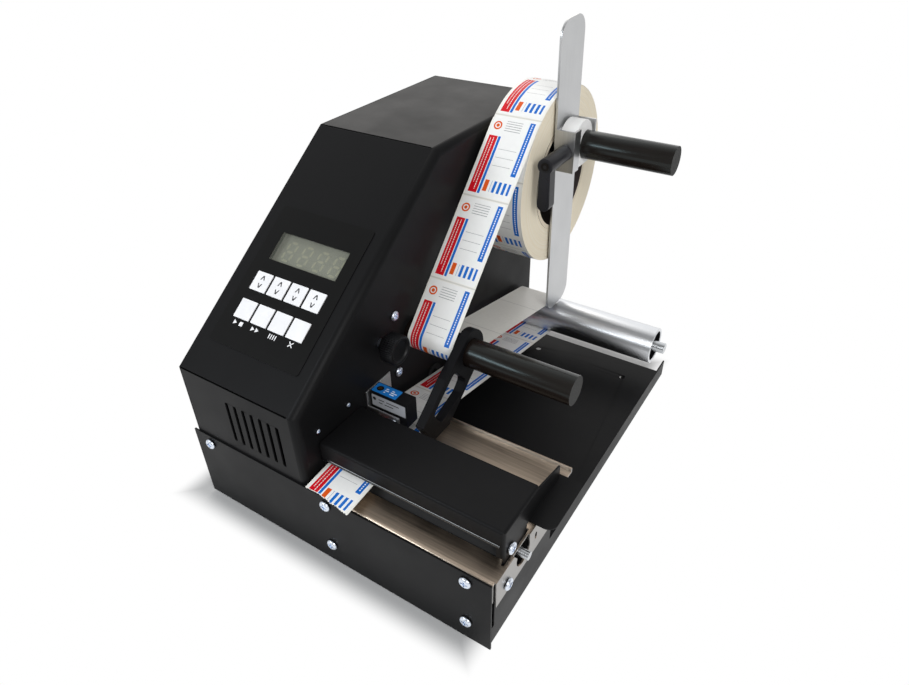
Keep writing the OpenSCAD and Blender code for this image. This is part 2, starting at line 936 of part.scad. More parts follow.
module pressure_cover() {
  bend = [cover_y + cover_bend, cover_top - cover_bend];
  color("#262628")
    framed()
      difference() {
        union() {
          difference() {
            cover_form(0);
            cover_form(sheet);
            block(cover_x0 - 1, cover_x1 - cover_leg, 0, cover_y + 10, 0, hem_z);
            block(cover_x0 - 1, cover_x1 - sheet + 0.3, 0, cover_y + cover_corner + 0.2, 0, leg_z);
            along_x(cover_x1 - sheet - 0.5, cover_x1 + 1)
              polygon(concat(
                [[0, deck_top - 4], [cover_y + cover_corner, deck_top - 4]],
                [pivot_c - [-2, 15], feed_c + [-7.5, 2.8]],
                arc(feed_c, shaft_r + 2.7, 156, 52, 8),
                [feed_c + [8.5, 8], feed_c + [10.5, 19], [cover_rear + 5, tab_z], [cover_rear + 5, 0], [0, 0]]
              ));
          }
          along_x(cover_x1 - sheet, cover_x1)
            polygon([
              feed_c + [10.5, 19], [cover_rear, tab_z], [107.5, tab_z], [107.5, cover_top - 12],
              [cover_rear - 1, cover_top - cover_side_bend], feed_c + [10.5, 25]
            ]);
          rod_x([cover_y + hem_r, hem_z], hem_r, cover_x0, cover_x1 - cover_corner);
          along_x(cover_x0, cover_x0 + sheet) {
            polygon(concat(
              [[pivot_c[0] - 7.2, pivot_c[1] - 2], [cover_y, hem_z + 1]],
              arc(bend, cover_bend, 180, 90, 6),
              [[60, cover_top], [52, press_c[1] - 8], [pivot_c[0] + 5, pivot_c[1] - 5.5]]
            ));
            translate(pivot_c)
              circle(r = 7.5);
          }
          translate([cover_x1 - sheet, tab_y0, tab_z])
            linear_extrude(sheet)
              difference() {
                square([tab_w + sheet, tab_y1 - tab_y0]);
                translate([tab_w + sheet - 8, 0])
                  difference() {
                    translate([0, -1])
                      square(9);
                    translate([0, 8])
                      circle(r = 8);
                  }
                translate([tab_w + sheet - 5, tab_y1 - tab_y0 - 5])
                  difference() {
                    square(6);
                    circle(r = 5);
                  }
              }
        }
        rod_x(pivot_c, pivot_r + fit, cover_x0 - 5, cover_x0 + 5);
        rod_x(pivot_c, pivot_r + fit, cover_x1 - 5, cover_x1 + 5);
        rod_x(press_c, 3, cover_x0 - 5, cover_x0 + 5);
      }
}

module cover_pivots() {
  color("#ced3d9")
    framed() {
      rod_x(pivot_c, 2.5, feed_x1 + 0.6, feed_x1 + 2.6);
      rod_x(pivot_c, pivot_r, feed_x1 + 2.6, cover_x1 + run_gap);
      translate([cover_x1 + run_gap, pivot_c[0], pivot_c[1]])
        rotate([0, 90, 0])
          pan_screw(10, 2.4, 4, 1);
      rod_x(pivot_c, pivot_r, wall - 6, cover_x0 + sheet + 0.5);
      rod_x(pivot_c, 6, wall, cover_x0 - run_gap);
    }
}

module pressure_shaft() {
  color("#c6c8ca")
    framed()
      rod_x(press_c, 3, cover_x0, cover_x1 - sheet);
}

module pressure_roller() {
  color("#3a3a3c")
    framed()
      difference() {
        rod_x(press_c, press_r, feed_x0, press_x1);
        rod_x(press_c, 3 + fit, feed_x0 - 1, press_x1 + 1);
      }
}

module sensor_body() {
  color("#3d3f42")
    framed()
      difference() {
        block(sensor_x0, sensor_x1, sensor_y0, sensor_y1, sensor_low, sensor_top);
        block(web_x0 - 0.6, sensor_x1 + 1, sensor_y0 - 1, sensor_y1 + 1, slot_low, slot_top);
        rod_y(sensor_screw[0], sensor_screw[1], 1.8, sensor_y0 - 1, sensor_y0 + 6);
      }
}

module sensor_bracket() {
  color("#c4c6c8")
    framed()
      difference() {
        union() {
          block(wall, wall + sheet, bracket_y, 113, sensor_top - 18, sensor_top);
          block(wall, wall + sheet, bracket_y, sensor_y0 + 6, sensor_top - 25, sensor_top - 18);
          block(wall, sensor_x0 + 32, bracket_y, bracket_y + sheet, sensor_top - 25, sensor_top - 14.5);
        }
        rod_y(sensor_screw[0], sensor_screw[1], 1.8, bracket_y - 1, bracket_y + 5);
      }
}

module sensor_screws() {
  color("#ced3d9")
    framed()
      translate([sensor_screw[0], bracket_y, sensor_screw[1]])
        rotate([90, 0, 0])
          pan_screw(6, 2.2, 3, 8);
}

module sensor_stud() {
  color("#b9bcc0")
    framed()
      rod_x(knob_c, stud_r, wall - 6, knob_x1 - 4);
}

module sensor_knob() {
  color("#1d1d20")
    framed()
      difference() {
        union() {
          rod_x(knob_c, knob_r, knob_x0, knob_x1);
          rod_x(knob_c, 8, knob_x0 - 4, knob_x0);
        }
        rod_x(knob_c, stud_r + fit, knob_x0 - 5, knob_x1 - 3.5);
        for (i = [0:23])
          translate([0, knob_c[0], knob_c[1]])
            rotate([15*i, 0, 0])
              rod_x([knob_r + 0.5, 0], 1.2, knob_x0 - 1, knob_x1 + 1);
      }
}

module guide_post() {
  color("#1a1b1d")
    framed()
      difference() {
        rod_x(post_c, bar_r, wall, post_x1);
        rod_x(post_c, bore_r, wall - 1, wall + bore_l);
      }
}

module edge_guide() {
  color("#1f1f22")
    framed()
      along_x(edge_x, edge_x + edge_t)
        difference() {
          polygon(concat(arc(post_c, edge_r, -42, 95, 20), edge_nose));
          translate(post_c)
            circle(r = bar_r + fit);
          polygon(soft_loop(edge_slot, edge_slot_r));
        }
}

module rear_axle() {
  color("#b7babd")
    framed()
      rod_x(rear_c, axle_r, wall - 10, axle_x1);
}

module rear_roller() {
  color("#c3c5c7")
    framed()
      difference() {
        rod_x(rear_c, rear_r, wall + 4, roller_x1);
        rod_x(rear_c, rear_r - roller_wall, wall + 3, roller_x1 + 1);
      }
}

module roller_caps() {
  color("#8d9093")
    framed()
      for (x = [wall + 4.5, roller_x1 - 12])
        difference() {
          rod_x(rear_c, rear_r - roller_wall, x, x + 8);
          rod_x(rear_c, axle_r + fit, x - 1, x + 9);
        }
}

module supply_spindle() {
  color("#8e9194")
    framed()
      difference() {
        rod_x(spindle_c, bar_r, wall, spindle_x1);
        rod_x(spindle_c, 4, wall - 1, wall + 16);
      }
}

module bar_screws() {
  color("#c2c6ca")
    framed()
      for (c = [post_c, spindle_c]) {
        rod_x(c, 4, wall - sheet, wall + 14);
        rod_x(c, 7, wall - sheet - 5, wall - sheet);
      }
}

module label_roll() {
  color("#f3e3c8")
    framed()
      difference() {
        rod_x(roll_c, roll_r, web_x0, web_x1);
        rod_x(roll_c, core_r + core_wall, web_x0 - 1, web_x1 + 1);
      }
}

module roll_core() {
  color("#cdb58e")
    framed()
      difference() {
        rod_x(roll_c, core_r + core_wall, web_x0, web_x1);
        rod_x(roll_c, core_r, web_x0 - 1, web_x1 + 1);
      }
}

module label_web() {
  color("#f4f1e8")
    framed()
      along_x(web_x0, web_x1)
        polygon(concat(web_side(web_t/2), flip(web_side(-web_t/2))));
}

module roll_guide_strip() {
  color("#c8c9ca")
    framed()
      along_x(strip_x, strip_x + strip_t)
        difference() {
          translate(strip_mid)
            rotate(strip_tilt)
              translate([-strip_w/2, -strip_l/2])
                rounded(strip_w, strip_l, strip_round);
          translate(spindle_c)
            circle(r = bar_r + 1.5);
        }
}

module clamp_bracket() {
  color("#b0b1b0")
    framed()
      difference() {
        union() {
          block(strip_x + strip_t, clamp_x1, clamp_y, clamp_y + clamp_t, clamp_low, clamp_high);
          block(strip_x + strip_t, bush_x0, clamp_y, clamp_rear + clamp_t, clamp_low, clamp_high);
          block(bush_x1, clamp_x1, clamp_y, clamp_y + clamp_ear, clamp_low, clamp_high);
          block(strip_x + strip_t, clamp_x1, clamp_rear, clamp_rear + clamp_t, clamp_low, clamp_high);
        }
        rod_x(spindle_c, bar_r + 1.5, strip_x, bush_x0 + 1);
        rod_y(lever_x, spindle_c[1], lever_screw_r + 0.1, clamp_y - 5, clamp_y + 5);
      }
}

module guide_bush() {
  color("#f2f2ef")
    framed()
      difference() {
        along_x(bush_x0, bush_x1)
          polygon(concat(
            [[bush_mid[0] - bush_half, clamp_low]],
            arc(bush_mid, bush_half, 180, 0, 24),
            [[bush_mid[0] + bush_half, clamp_low]]
          ));
        rod_x(spindle_c, bar_r + fit, strip_x - 1, clamp_x1 + 1);
        rod_y(lever_x, spindle_c[1], lever_screw_r + 0.2, clamp_y, spindle_c[0]);
      }
}

module clamp_lever() {
  color("#1b1b1d")
    framed()
      difference() {
        union() {
          rod_y(lever_x, spindle_c[1], lever_r, lever_y0, lever_y1);
          along_y(lever_y0, lever_y0 + lever_thick)
            polygon(concat(
              [[lever_x + lever_neck/2, spindle_c[1]], [lever_x - lever_neck/2, spindle_c[1]]],
              arc([lever_x, spindle_c[1] - lever_l], lever_end_r, 182, 358, 14)
            ));
        }
        rod_y(lever_x, spindle_c[1], lever_screw_r, lever_y1 - lever_screw_in, lever_y1 + 1);
      }
}

module lever_screw() {
  color("#bfc3c7")
    framed()
      rod_y(lever_x, spindle_c[1], lever_screw_r, lever_y1 - lever_screw_in, spindle_c[0] - bar_r - 0.5);
}

base_pan();
front_plate();
plate_screws();
rubber_feet();
housing_shell();
left_panel();
wall_screws();
panel_overlay();
display_window();
display_module();
control_board();
board_standoffs();
key_switches();
digit_key_1();
digit_key_2();
digit_key_3();
digit_key_4();
function_key_1();
function_key_2();
function_key_3();
function_key_4();
power_jack();
switch_frame();
power_rocker();
cable_grommet();
drive_motor();
motor_bracket();
motor_shaft();
motor_pulley();
drive_belt();
feed_deck();
rear_shelf();
feed_bearings();
feed_shaft();
feed_roller();
feed_pulley();
pressure_cover();
cover_pivots();
pressure_shaft();
pressure_roller();
sensor_body();
sensor_bracket();
sensor_screws();
sensor_stud();
sensor_knob();
guide_post();
edge_guide();
rear_axle();
rear_roller();
roller_caps();
supply_spindle();
bar_screws();
label_roll();
roll_core();
label_web();
roll_guide_strip();
clamp_bracket();
guide_bush();
clamp_lever();
lever_screw();
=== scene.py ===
"""Looks of a bench label counter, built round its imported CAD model."""
import json
import math

import bmesh
import bpy
from mathutils import Matrix, Vector


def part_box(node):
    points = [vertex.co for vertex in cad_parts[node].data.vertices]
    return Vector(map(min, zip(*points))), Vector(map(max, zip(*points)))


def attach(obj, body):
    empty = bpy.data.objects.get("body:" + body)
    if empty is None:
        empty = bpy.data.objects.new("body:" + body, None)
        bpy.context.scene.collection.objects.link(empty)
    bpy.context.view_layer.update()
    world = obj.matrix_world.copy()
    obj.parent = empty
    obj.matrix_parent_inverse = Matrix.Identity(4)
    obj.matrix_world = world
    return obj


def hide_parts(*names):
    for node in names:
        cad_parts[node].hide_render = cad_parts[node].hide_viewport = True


bl_info = {
    "name": "Label counter",
    "version": (1, 0, 0),
    "blender": (4, 5, 0),
    "location": "3D View > Sidebar > Label counter",
    "description": "Finishes, web, labels and small pieces of a bench label counter",
    "category": "Object",
}

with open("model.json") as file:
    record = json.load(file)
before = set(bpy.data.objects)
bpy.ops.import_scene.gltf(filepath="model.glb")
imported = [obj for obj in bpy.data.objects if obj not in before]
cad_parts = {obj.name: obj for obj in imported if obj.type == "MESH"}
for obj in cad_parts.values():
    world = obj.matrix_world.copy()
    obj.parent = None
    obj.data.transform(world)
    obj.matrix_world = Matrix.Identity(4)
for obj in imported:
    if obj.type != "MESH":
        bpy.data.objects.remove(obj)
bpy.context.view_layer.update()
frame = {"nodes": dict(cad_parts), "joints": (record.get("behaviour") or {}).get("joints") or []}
NODES = frame["nodes"]
MM = 0.001
# Lengths that differ by less are the same
TINY = 0.001 * MM
# The part's source counts X and Y from the front plate's left front edge
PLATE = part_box("front_plate")[0]
JOINTS = {joint["name"]: joint for joint in frame["joints"]}
ACROSS, BACK, UP = Vector((1, 0, 0)), Vector((0, 1, 0)), Vector((0, 0, 1))
OUT = -Vector(JOINTS["digit_key_1_press"]["axis"]).normalized()
UP_SLOPE = OUT.cross(ACROSS)
# Right, up and out of a flat outline: on the sloped panel, lying flat, on a front face and on a side face
PANEL = (ACROSS, UP_SLOPE, OUT)
LEVEL = (ACROSS, BACK, UP)
FRONT = (ACROSS, UP, -BACK)
SIDE = (BACK, UP, ACROSS)
# From the face of a roller to the middle of the web
WEB_GAP = 0.6 * MM
# Free end of the web: its Y and Z in the source's millimetres, the length that is torn, and the tear as
# (share across, millimetres missing), because it was torn off by hand and is longer on the right
WEB_TIP = (-8.5, 86.2)
TORN_RUN = 9 * MM
TEAR = ((0, 4.0), (0.3, 4.3), (0.42, 3.2), (0.47, 3.4), (0.6, 1.9), (0.72, 2.1), (0.85, 0.7), (1, 0))
# Labels that the liner's UV counts from 0 to 1
LINER_LABELS = 100
# Range that holds most of a noise texture's values
MIDDLE = (0.3, 0.7)


def at(x, y, z):
    """Place in the frame of a point given in the source's millimetres."""
    return Vector((PLATE.x + x * MM, PLATE.y + y * MM, z * MM))


def linear(code):
    """Linear colour of an sRGB hex code."""
    parts = [int(code[i:i + 2], 16) / 255 for i in (1, 3, 5)]
    return tuple(c / 12.92 if c <= 0.04045 else ((c + 0.055) / 1.055) ** 2.4 for c in parts)


def per_metre(size):
    """Texture scale whose features are that many millimetres apart."""
    return 1 / (size * MM)


# ---------------------------------------------------------------- settings

def colour(name, code, description):
    """Setting for a colour, given as an sRGB hex code."""
    return bpy.props.FloatVectorProperty(
        name=name, description=description, subtype="COLOR", size=3, min=0, max=1, default=linear(code))


def length(name, size, description):
    """Setting for a length, given in millimetres."""
    return bpy.props.FloatProperty(
        name=name, description=description, subtype="DISTANCE", unit="LENGTH", min=0, default=size * MM,
        precision=5)


def angle(name, degrees, description):
    """Setting for an angle, given in degrees."""
    return bpy.props.FloatProperty(
        name=name, description=description, subtype="ANGLE", default=math.radians(degrees))


def power(name, watts, description):
    """Setting for a lamp's power."""
    return bpy.props.FloatProperty(name=name, description=description, unit="POWER", min=0, default=watts)


class LabelCounterFinishes(bpy.types.PropertyGroup):
    """Colours of the machine's finishes"""

    paint: colour("Black paint", "#141415", "Powder coat on the sheet metal")
    overlay: colour("Panel film", "#0f0f0f", "Film of the keypad")
    steel: colour("Stainless steel", "#a3a19e", "Deck, shelf and motor bracket")
    # Brown tone given to the steel's faces that look up
    film: colour("Upward film", "#c4b3a1", "Brown film on steel that looks up")
    zinc: colour("Zinc plate", "#e8effa", "Screws, stud and stand-offs")
    bar: colour("Blackened bar", "#1c1613", "Guide post and spindle")
    roller: colour("Aluminium", "#dfe1e4", "Rear roller")
    plastic: colour("Black plastic", "#101012", "Sensor, knob, switch, edge guide and roller caps")
    key: colour("Key", "#f0f0f2", "Key caps")
    edge_round: length("Edge rounding", 0.45, "Rounding of the pieces' edges")


class LabelCounterWeb(bpy.types.PropertyGroup):
    """Label web and its print"""

    pitch: length("Label pitch", 77.4, "Distance from one label to the next")
    gap: length("Label gap", 2.6, "Bare liner between two labels")
    margin: length("Side margin", 1.7, "Bare liner beside a label")
    corner: length("Corner radius", 2.2, "Radius of a label's corners")
    first: length("First gap", 64.6, "First gap after the web leaves the roll")
    liner_t: length("Liner thickness", 0.16, "Thickness of the backing paper")
    label_t: length("Label thickness", 0.12, "Thickness of a label")
    paper: colour("Paper", "#f6f6f4", "Label paper")
    liner: colour("Liner", "#f3f1ea", "Backing paper")
    red: colour("Red ink", "#d61022", "First print colour")
    blue: colour("Blue ink", "#0a6ccc", "Second print colour")
    orange: colour("Orange ink", "#e25a18", "Third print colour")
    grey: colour("Grey ink", "#9a9a9d", "Rules for writing on")


class LabelCounterStage(bpy.types.PropertyGroup):
    """Floor, light and camera"""

    # Grey of the paper in the zone near the object, where it paints a shadow
    floor: colour("Floor", "#b6b6b6", "Studio floor")
    lens: bpy.props.FloatProperty(
        name="Lens", description="Focal length on a 36 mm sensor", unit="CAMERA", default=27.05)
    azimuth: angle("Azimuth", 33.64, "Turn of the camera to the right")
    elevation: angle("Elevation", 35.91, "Camera's look down")
    tilt: angle("Roll", -1.39, "Camera's turn about its own line of sight")
    place: bpy.props.FloatVectorProperty(
        name="Camera place", description="Camera's place in the frame", subtype="TRANSLATION", unit="LENGTH",
        size=3, default=(0.2767, -0.4453, 0.4848))
    key_light: power("Key light", 15.5, "Power of the light from the front right")
    window_light: power("Window light", 8.5, "Power of the light from the front left")
    rear_light: power("Rear light", 2.8, "Power of the light from behind")


class LabelCounterSettings(bpy.types.PropertyGroup):
    """All settings of the label counter"""

    finishes: bpy.props.PointerProperty(type=LabelCounterFinishes)
    web: bpy.props.PointerProperty(type=LabelCounterWeb)
    stage: bpy.props.PointerProperty(type=LabelCounterStage)


# ---------------------------------------------------------------- nodes and materials

def add(tree, kind, put=None, out=None, **fields):
    """Adds a shader node with its fields set and its inputs filled with values or other nodes' outputs.
    Returns the output of that name, or else the first one in use."""
    made = tree.nodes.new("ShaderNode" + kind)
    for field, value in fields.items():
        setattr(made, field, value)
    for socket, value in (put or {}).items():
        if isinstance(value, bpy.types.NodeSocket):
            tree.links.new(value, made.inputs[socket])
        else:
            made.inputs[socket].default_value = value
    if out:
        return made.outputs[out]
    return next((socket for socket in made.outputs if socket.enabled), None)


def start(name, put):
    """Starts a material with its shader's constant inputs, and returns it with its tree, its shader and the
    place on the object that its patterns follow."""
    made = bpy.data.materials.new(name)
    made.use_nodes = True
    shader = made.node_tree.nodes["Principled BSDF"]
    for socket, value in put.items():
        shader.inputs[socket].default_value = value
    return made, made.node_tree, shader, add(made.node_tree, "TexCoord", out="Object")


def drive(tree, shader, tone, gloss=None, height=None):
    """Leads a material's colour, roughness and height to its shader. Tone and gloss are outputs, or else
    tone is (factor, colour at 0, colour at 1) and gloss is (value, low and high end of its range, roughness
    at those ends). Height is (value, depth in millimetres, strength)."""
    if isinstance(tone, tuple):
        tone = add(tree, "Mix", dict(zip(("Factor", "A", "B"), tone)), data_type="RGBA")
    tree.links.new(tone, shader.inputs["Base Color"])
    if isinstance(gloss, tuple):
        gloss = add(tree, "MapRange", dict(zip(("Value", "From Min", "From Max", "To Min", "To Max"), gloss)))
    if gloss is not None:
        tree.links.new(gloss, shader.inputs["Roughness"])
    if height is not None:
        value, depth, strength = height
        bump = add(tree, "Bump", {"Height": value, "Distance": depth * MM, "Strength": strength})
        tree.links.new(bump, shader.inputs["Normal"])


def rgba(rgb):
    """Colour with full alpha."""
    return (*rgb, 1.0)


def shade(rgb, factor):
    """Lighter or darker tone of a colour, with its alpha."""
    return tuple(min(1.0, c * factor) for c in rgb) + (1.0,)


def powder_coat(name, rgb, rough=0.42):
    # Polyester powder coat baked on folded steel: semi-matt, with a fine orange peel that softens
    # reflections. The real peel is about 0.4 mm; it is drawn at 1.1 mm so that it shows.
    made, tree, shader, spot = start(name, {"IOR": 1.5, "Specular IOR Level": 0.095})
    peel = add(tree, "TexNoise", {"Vector": spot, "Scale": per_metre(1.1), "Detail": 2.0, "Roughness": 0.5})
    cloud = add(tree, "TexNoise", {"Vector": spot, "Scale": per_metre(45), "Detail": 3.0, "Roughness": 0.55})
    drive(tree, shader, (cloud, shade(rgb, 0.88), shade(rgb, 1.14)),
          (cloud, *MIDDLE, rough - 0.04, rough + 0.05), (peel, 0.05, 0.5))
    return made


def brushed_steel(name, rgb, along, rough=0.3, grain=0.5, film=None):
    # Stainless sheet brushed with a belt: fine straight scratches that stretch highlights across the grain.
    # The real scratches are about 0.05 mm apart; they are drawn 0.5 mm apart, or 1.6 mm on the deck, and
    # 60 mm long, so that they show. Film is a brown tone, streaked like the steel, given to the faces that
    # look up.
    made, tree, shader, spot = start(name, {"Metallic": 1.0})
    scale = tuple(per_metre(60 if i == along else grain) for i in range(3))
    drawn = add(tree, "Mapping", {"Vector": spot, "Scale": scale})
    lines = add(tree, "TexNoise", {"Vector": drawn, "Scale": 1.0, "Detail": 4.0, "Roughness": 0.65})
    smear = add(tree, "TexNoise", {"Vector": spot, "Scale": per_metre(30), "Detail": 2.0})
    tone = (lines, shade(rgb, 0.78), shade(rgb, 1.14))
    # Faces that look up take a brown, streaked tone in place of the steel's own
    if film:
        clean = add(tree, "Mix", dict(zip(("Factor", "A", "B"), tone)), data_type="RGBA")
        browned = add(tree, "Mix", {"Factor": lines, "A": shade(film, 0.5), "B": shade(film, 1.42)},
                    data_type="RGBA")
        upward = add(tree, "SeparateXYZ", {"Vector": spot.node.outputs["Normal"]}, out="Z")
        upward = add(tree, "MapRange", {"Value": upward, "From Min": 0.3, "From Max": 0.8})
        tone = (upward, clean, browned)
    both = add(tree, "Math", {0: lines, 1: smear}, operation="ADD")
    drive(tree, shader, tone, (both, 0.6, 1.4, rough - 0.07, rough + 0.1), (lines, 0.02, 0.2))
    return made


def turned_metal(name, rgb, rough=0.2):
    # Metal turned on a lathe: tool marks run round the axis and close into fine rings.
    # The real feed is about 0.1 mm; it is drawn at 0.7 mm so that it shows. The marks blur what the metal
    # mirrors along its axis, which leaves streaks from end to end.
    made, tree, shader, spot = start(
        name, {"Metallic": 1.0, "Anisotropic": 0.8, "Anisotropic Rotation": 0.25})
    round_axis = add(tree, "Tangent", direction_type="RADIAL", axis="X")
    tree.links.new(round_axis, shader.inputs["Tangent"])
    along = add(tree, "SeparateXYZ", {"Vector": spot}, out="X")
    turns = add(tree, "Math", {0: along, 1: per_metre(0.7)}, operation="MULTIPLY")
    rings = add(tree, "TexNoise", {"W": turns, "Scale": 1.0, "Detail": 3.0, "Roughness": 0.7},
                noise_dimensions="1D")
    drive(tree, shader, (rings, shade(rgb, 0.95), shade(rgb, 1.03)),
          (rings, *MIDDLE, rough - 0.02, rough + 0.03))
    return made


def plated_zinc(name, rgb):
    # Zinc plate on steel screws, blue passivated: bright and bluish, a little cloudy from the bath.
    made, tree, shader, spot = start(name, {"Metallic": 1.0})
    cloud = add(tree, "TexNoise", {"Vector": spot, "Scale": per_metre(2.2), "Detail": 3.0})
    drive(tree, shader, (cloud, shade(rgb, 0.93), rgba(linear("#e0e8f4"))), (cloud, 0.0, 1.0, 0.2, 0.38))
    return made


def bar_oxide(name, rgb):
    # Drawn round bar, chemically blackened and oiled: deep black with a narrow greenish highlight along the
    # bar, and dull sawn ends.
    made, tree, shader, spot = start(
        name, {"IOR": 1.52, "Specular IOR Level": 0.3, "Specular Tint": rgba(linear("#d8f2f4"))})
    drawn = add(tree, "Mapping", {"Vector": spot, "Scale": (per_metre(22), per_metre(4), per_metre(4))})
    wave = add(tree, "TexNoise", {"Vector": drawn, "Scale": 1.0, "Detail": 2.0})
    oiled = add(tree, "MapRange",
                {"Value": wave, "From Min": 0.3, "From Max": 0.7, "To Min": 0.2, "To Max": 0.27})
    grit = add(tree, "TexNoise", {"Vector": spot, "Scale": per_metre(1.5), "Detail": 3.0})
    sawn = add(tree, "MapRange", {"Value": grit, "To Min": 0.5, "To Max": 0.75})
    end = add(tree, "SeparateXYZ", {"Vector": spot.node.outputs["Normal"]}, out="X")
    end = add(tree, "MapRange", {"Value": end, "From Min": 0.85, "From Max": 0.95})
    gloss = add(tree, "Mix", {"Factor": end, "A": oiled, "B": sawn})
    drive(tree, shader, (wave, shade(rgb, 0.8), shade(rgb, 1.25)), gloss, (wave, 0.02, 0.2))
    return made


def moulded_plastic(name, rgb, rough=0.42, grain=0.9, depth=0.03, shine=0.4):
    # Moulded nylon, acetal or ABS: an even satin skin with the fine texture of an eroded mould. Films and
    # inks take it with a shallower skin. The real texture is about 0.2 mm; it is drawn at 0.7 to 1.2 mm, and
    # on worn paint at 6 mm, so that it shows.
    made, tree, shader, spot = start(name, {"IOR": 1.5, "Specular IOR Level": shine})
    skin = add(tree, "TexNoise", {"Vector": spot, "Scale": per_metre(grain), "Detail": 2.0})
    cloud = add(tree, "TexNoise", {"Vector": spot, "Scale": per_metre(14), "Detail": 2.0})
    drive(tree, shader, (cloud, shade(rgb, 0.9), shade(rgb, 1.1)),
          (skin, *MIDDLE, rough - 0.05, rough + 0.05), (skin, depth, 0.5))
    return made


def moulded_rubber(name, rgb):
    # Moulded black rubber: dull, slightly dusty in patches.
    made, tree, shader, spot = start(name, {"IOR": 1.52, "Specular IOR Level": 0.35})
    dust = add(tree, "TexNoise", {"Vector": spot, "Scale": per_metre(9), "Detail": 4.0, "Roughness": 0.6})
    skin = add(tree, "TexNoise", {"Vector": spot, "Scale": per_metre(0.9), "Detail": 2.0})
    drive(tree, shader, (dust, shade(rgb, 0.85), shade(rgb, 1.35)), (dust, 0.0, 1.0, 0.62, 0.82),
          (skin, 0.05, 0.4))
    return made


def smoked_acrylic(name):
    # Cast acrylic lens, lightly smoked: glossy, and it lays a grey-green haze over what lies behind it.
    made, tree, shader, spot = start(name, {"IOR": 1.49, "Roughness": 0.05, "Alpha": 0.26})
    haze = add(tree, "TexNoise", {"Vector": spot, "Scale": per_metre(12), "Detail": 2.0})
    drive(tree, shader, (haze, rgba(linear("#6b6d63")), rgba(linear("#787a70"))))
    return made


def wound_paper(name, centre):
    # Edge of a tightly wound paper roll: cream, with one faint ring for each turn and a little shading by
    # tension. A turn is about 0.3 mm thick; the rings are drawn at 1.3 mm so that they show.
    made, tree, shader, spot = start(name, {"IOR": 1.45, "Specular IOR Level": 0.25, "Roughness": 0.8})
    arm = add(tree, "VectorMath", {0: spot, 1: centre}, operation="SUBTRACT")
    arm = add(tree, "VectorMath", {0: arm, 1: (0, 1, 1)}, operation="MULTIPLY")
    reach = add(tree, "VectorMath", {0: arm}, operation="LENGTH")
    turn = add(tree, "Math", {0: reach, 1: per_metre(1.3)}, operation="MULTIPLY")
    rings = add(tree, "TexNoise", {"W": turn, "Scale": 1.0, "Detail": 4.0, "Roughness": 0.7},
                noise_dimensions="1D")
    tone = add(tree, "ValToRGB", {"Fac": rings})
    ramp = tone.node.color_ramp.elements
    ramp[0].position, ramp[0].color = 0.25, rgba(linear("#f7e9cb"))
    ramp[1].position, ramp[1].color = 0.75, rgba(linear("#fef7e6"))
    drive(tree, shader, tone, None, (rings, 0.08, 0.3))
    return made


def core_board(name):
    # Spiral-wound board of the core: matt and fibrous, cream where its ends were cut, and dark grey inside,
    # where the board's tone is darkened as painted shade of the bore.
    made, tree, shader, spot = start(name, {"IOR": 1.45, "Specular IOR Level": 0.2, "Roughness": 0.9})
    fibre = add(tree, "TexNoise", {"Vector": spot, "Scale": per_metre(1.5), "Detail": 5.0, "Roughness": 0.7})
    # Inside: dark greys that paint the shade of the bore; cut ends: the board's own cream
    painted_bore_shade, cut = (
        add(tree, "Mix", {"Factor": fibre, "A": rgba(linear(dark)), "B": rgba(linear(light))},
            data_type="RGBA")
        for dark, light in (("#3d3736", "#5a5150"), ("#e3d5bb", "#f6ecd9")))
    end = add(tree, "SeparateXYZ", {"Vector": spot.node.outputs["Normal"]}, out="X")
    end = add(tree, "Math", {0: end}, operation="ABSOLUTE")
    end = add(tree, "Math", {0: end, 1: 0.7}, operation="GREATER_THAN")
    drive(tree, shader, (end, painted_bore_shade, cut), None, (fibre, 0.06, 0.5))
    return made


def liner_paper(name, rgb):
    # Glassine backing paper: smooth, slightly glossy white, with a faint line where the die cut each label
    # free.
    made, tree, shader, spot = start(name, {"IOR": 1.47, "Specular IOR Level": 0.4, "Roughness": 0.38})
    along = add(tree, "SeparateXYZ", {"Vector": spot.node.outputs["UV"]}, out="Y")
    step = add(tree, "Math", {0: along, 1: LINER_LABELS}, operation="MULTIPLY")
    step = add(tree, "Math", {0: step}, operation="FRACT")
    line = add(tree, "Math", {0: step, 1: 0.5, 2: 0.008}, operation="COMPARE")
    fibre = add(tree, "TexNoise", {"Vector": spot, "Scale": per_metre(3), "Detail": 4.0})
    paper = add(tree, "Mix", {"Factor": fibre, "A": shade(rgb, 0.94), "B": shade(rgb, 1.05)},
                data_type="RGBA")
    drive(tree, shader, (line, paper, shade(rgb, 0.78)))
    return made


def block_of(tree, u, v, box, rows=None):
    """Mask of an oblong on a label, as low and high u and low and high v in millimetres. Rows cut it into
    stripes: they give the value that they follow, their pitch and the share of it that is printed."""
    masks = [add(tree, "Math", {0: value, 1: (low + high) / 2, 2: (high - low) / 2}, operation="COMPARE")
             for value, low, high in ((u, *box[:2]), (v, *box[2:]))]
    if rows:
        value, pitch, share = rows
        step = add(tree, "Math", {0: value, 1: pitch}, operation="DIVIDE")
        step = add(tree, "Math", {0: step}, operation="FRACT")
        masks.append(add(tree, "Math", {0: step, 1: share}, operation="LESS_THAN"))
    whole = masks[0]
    for mask in masks[1:]:
        whole = add(tree, "Math", {0: whole, 1: mask}, operation="MULTIPLY")
    return whole


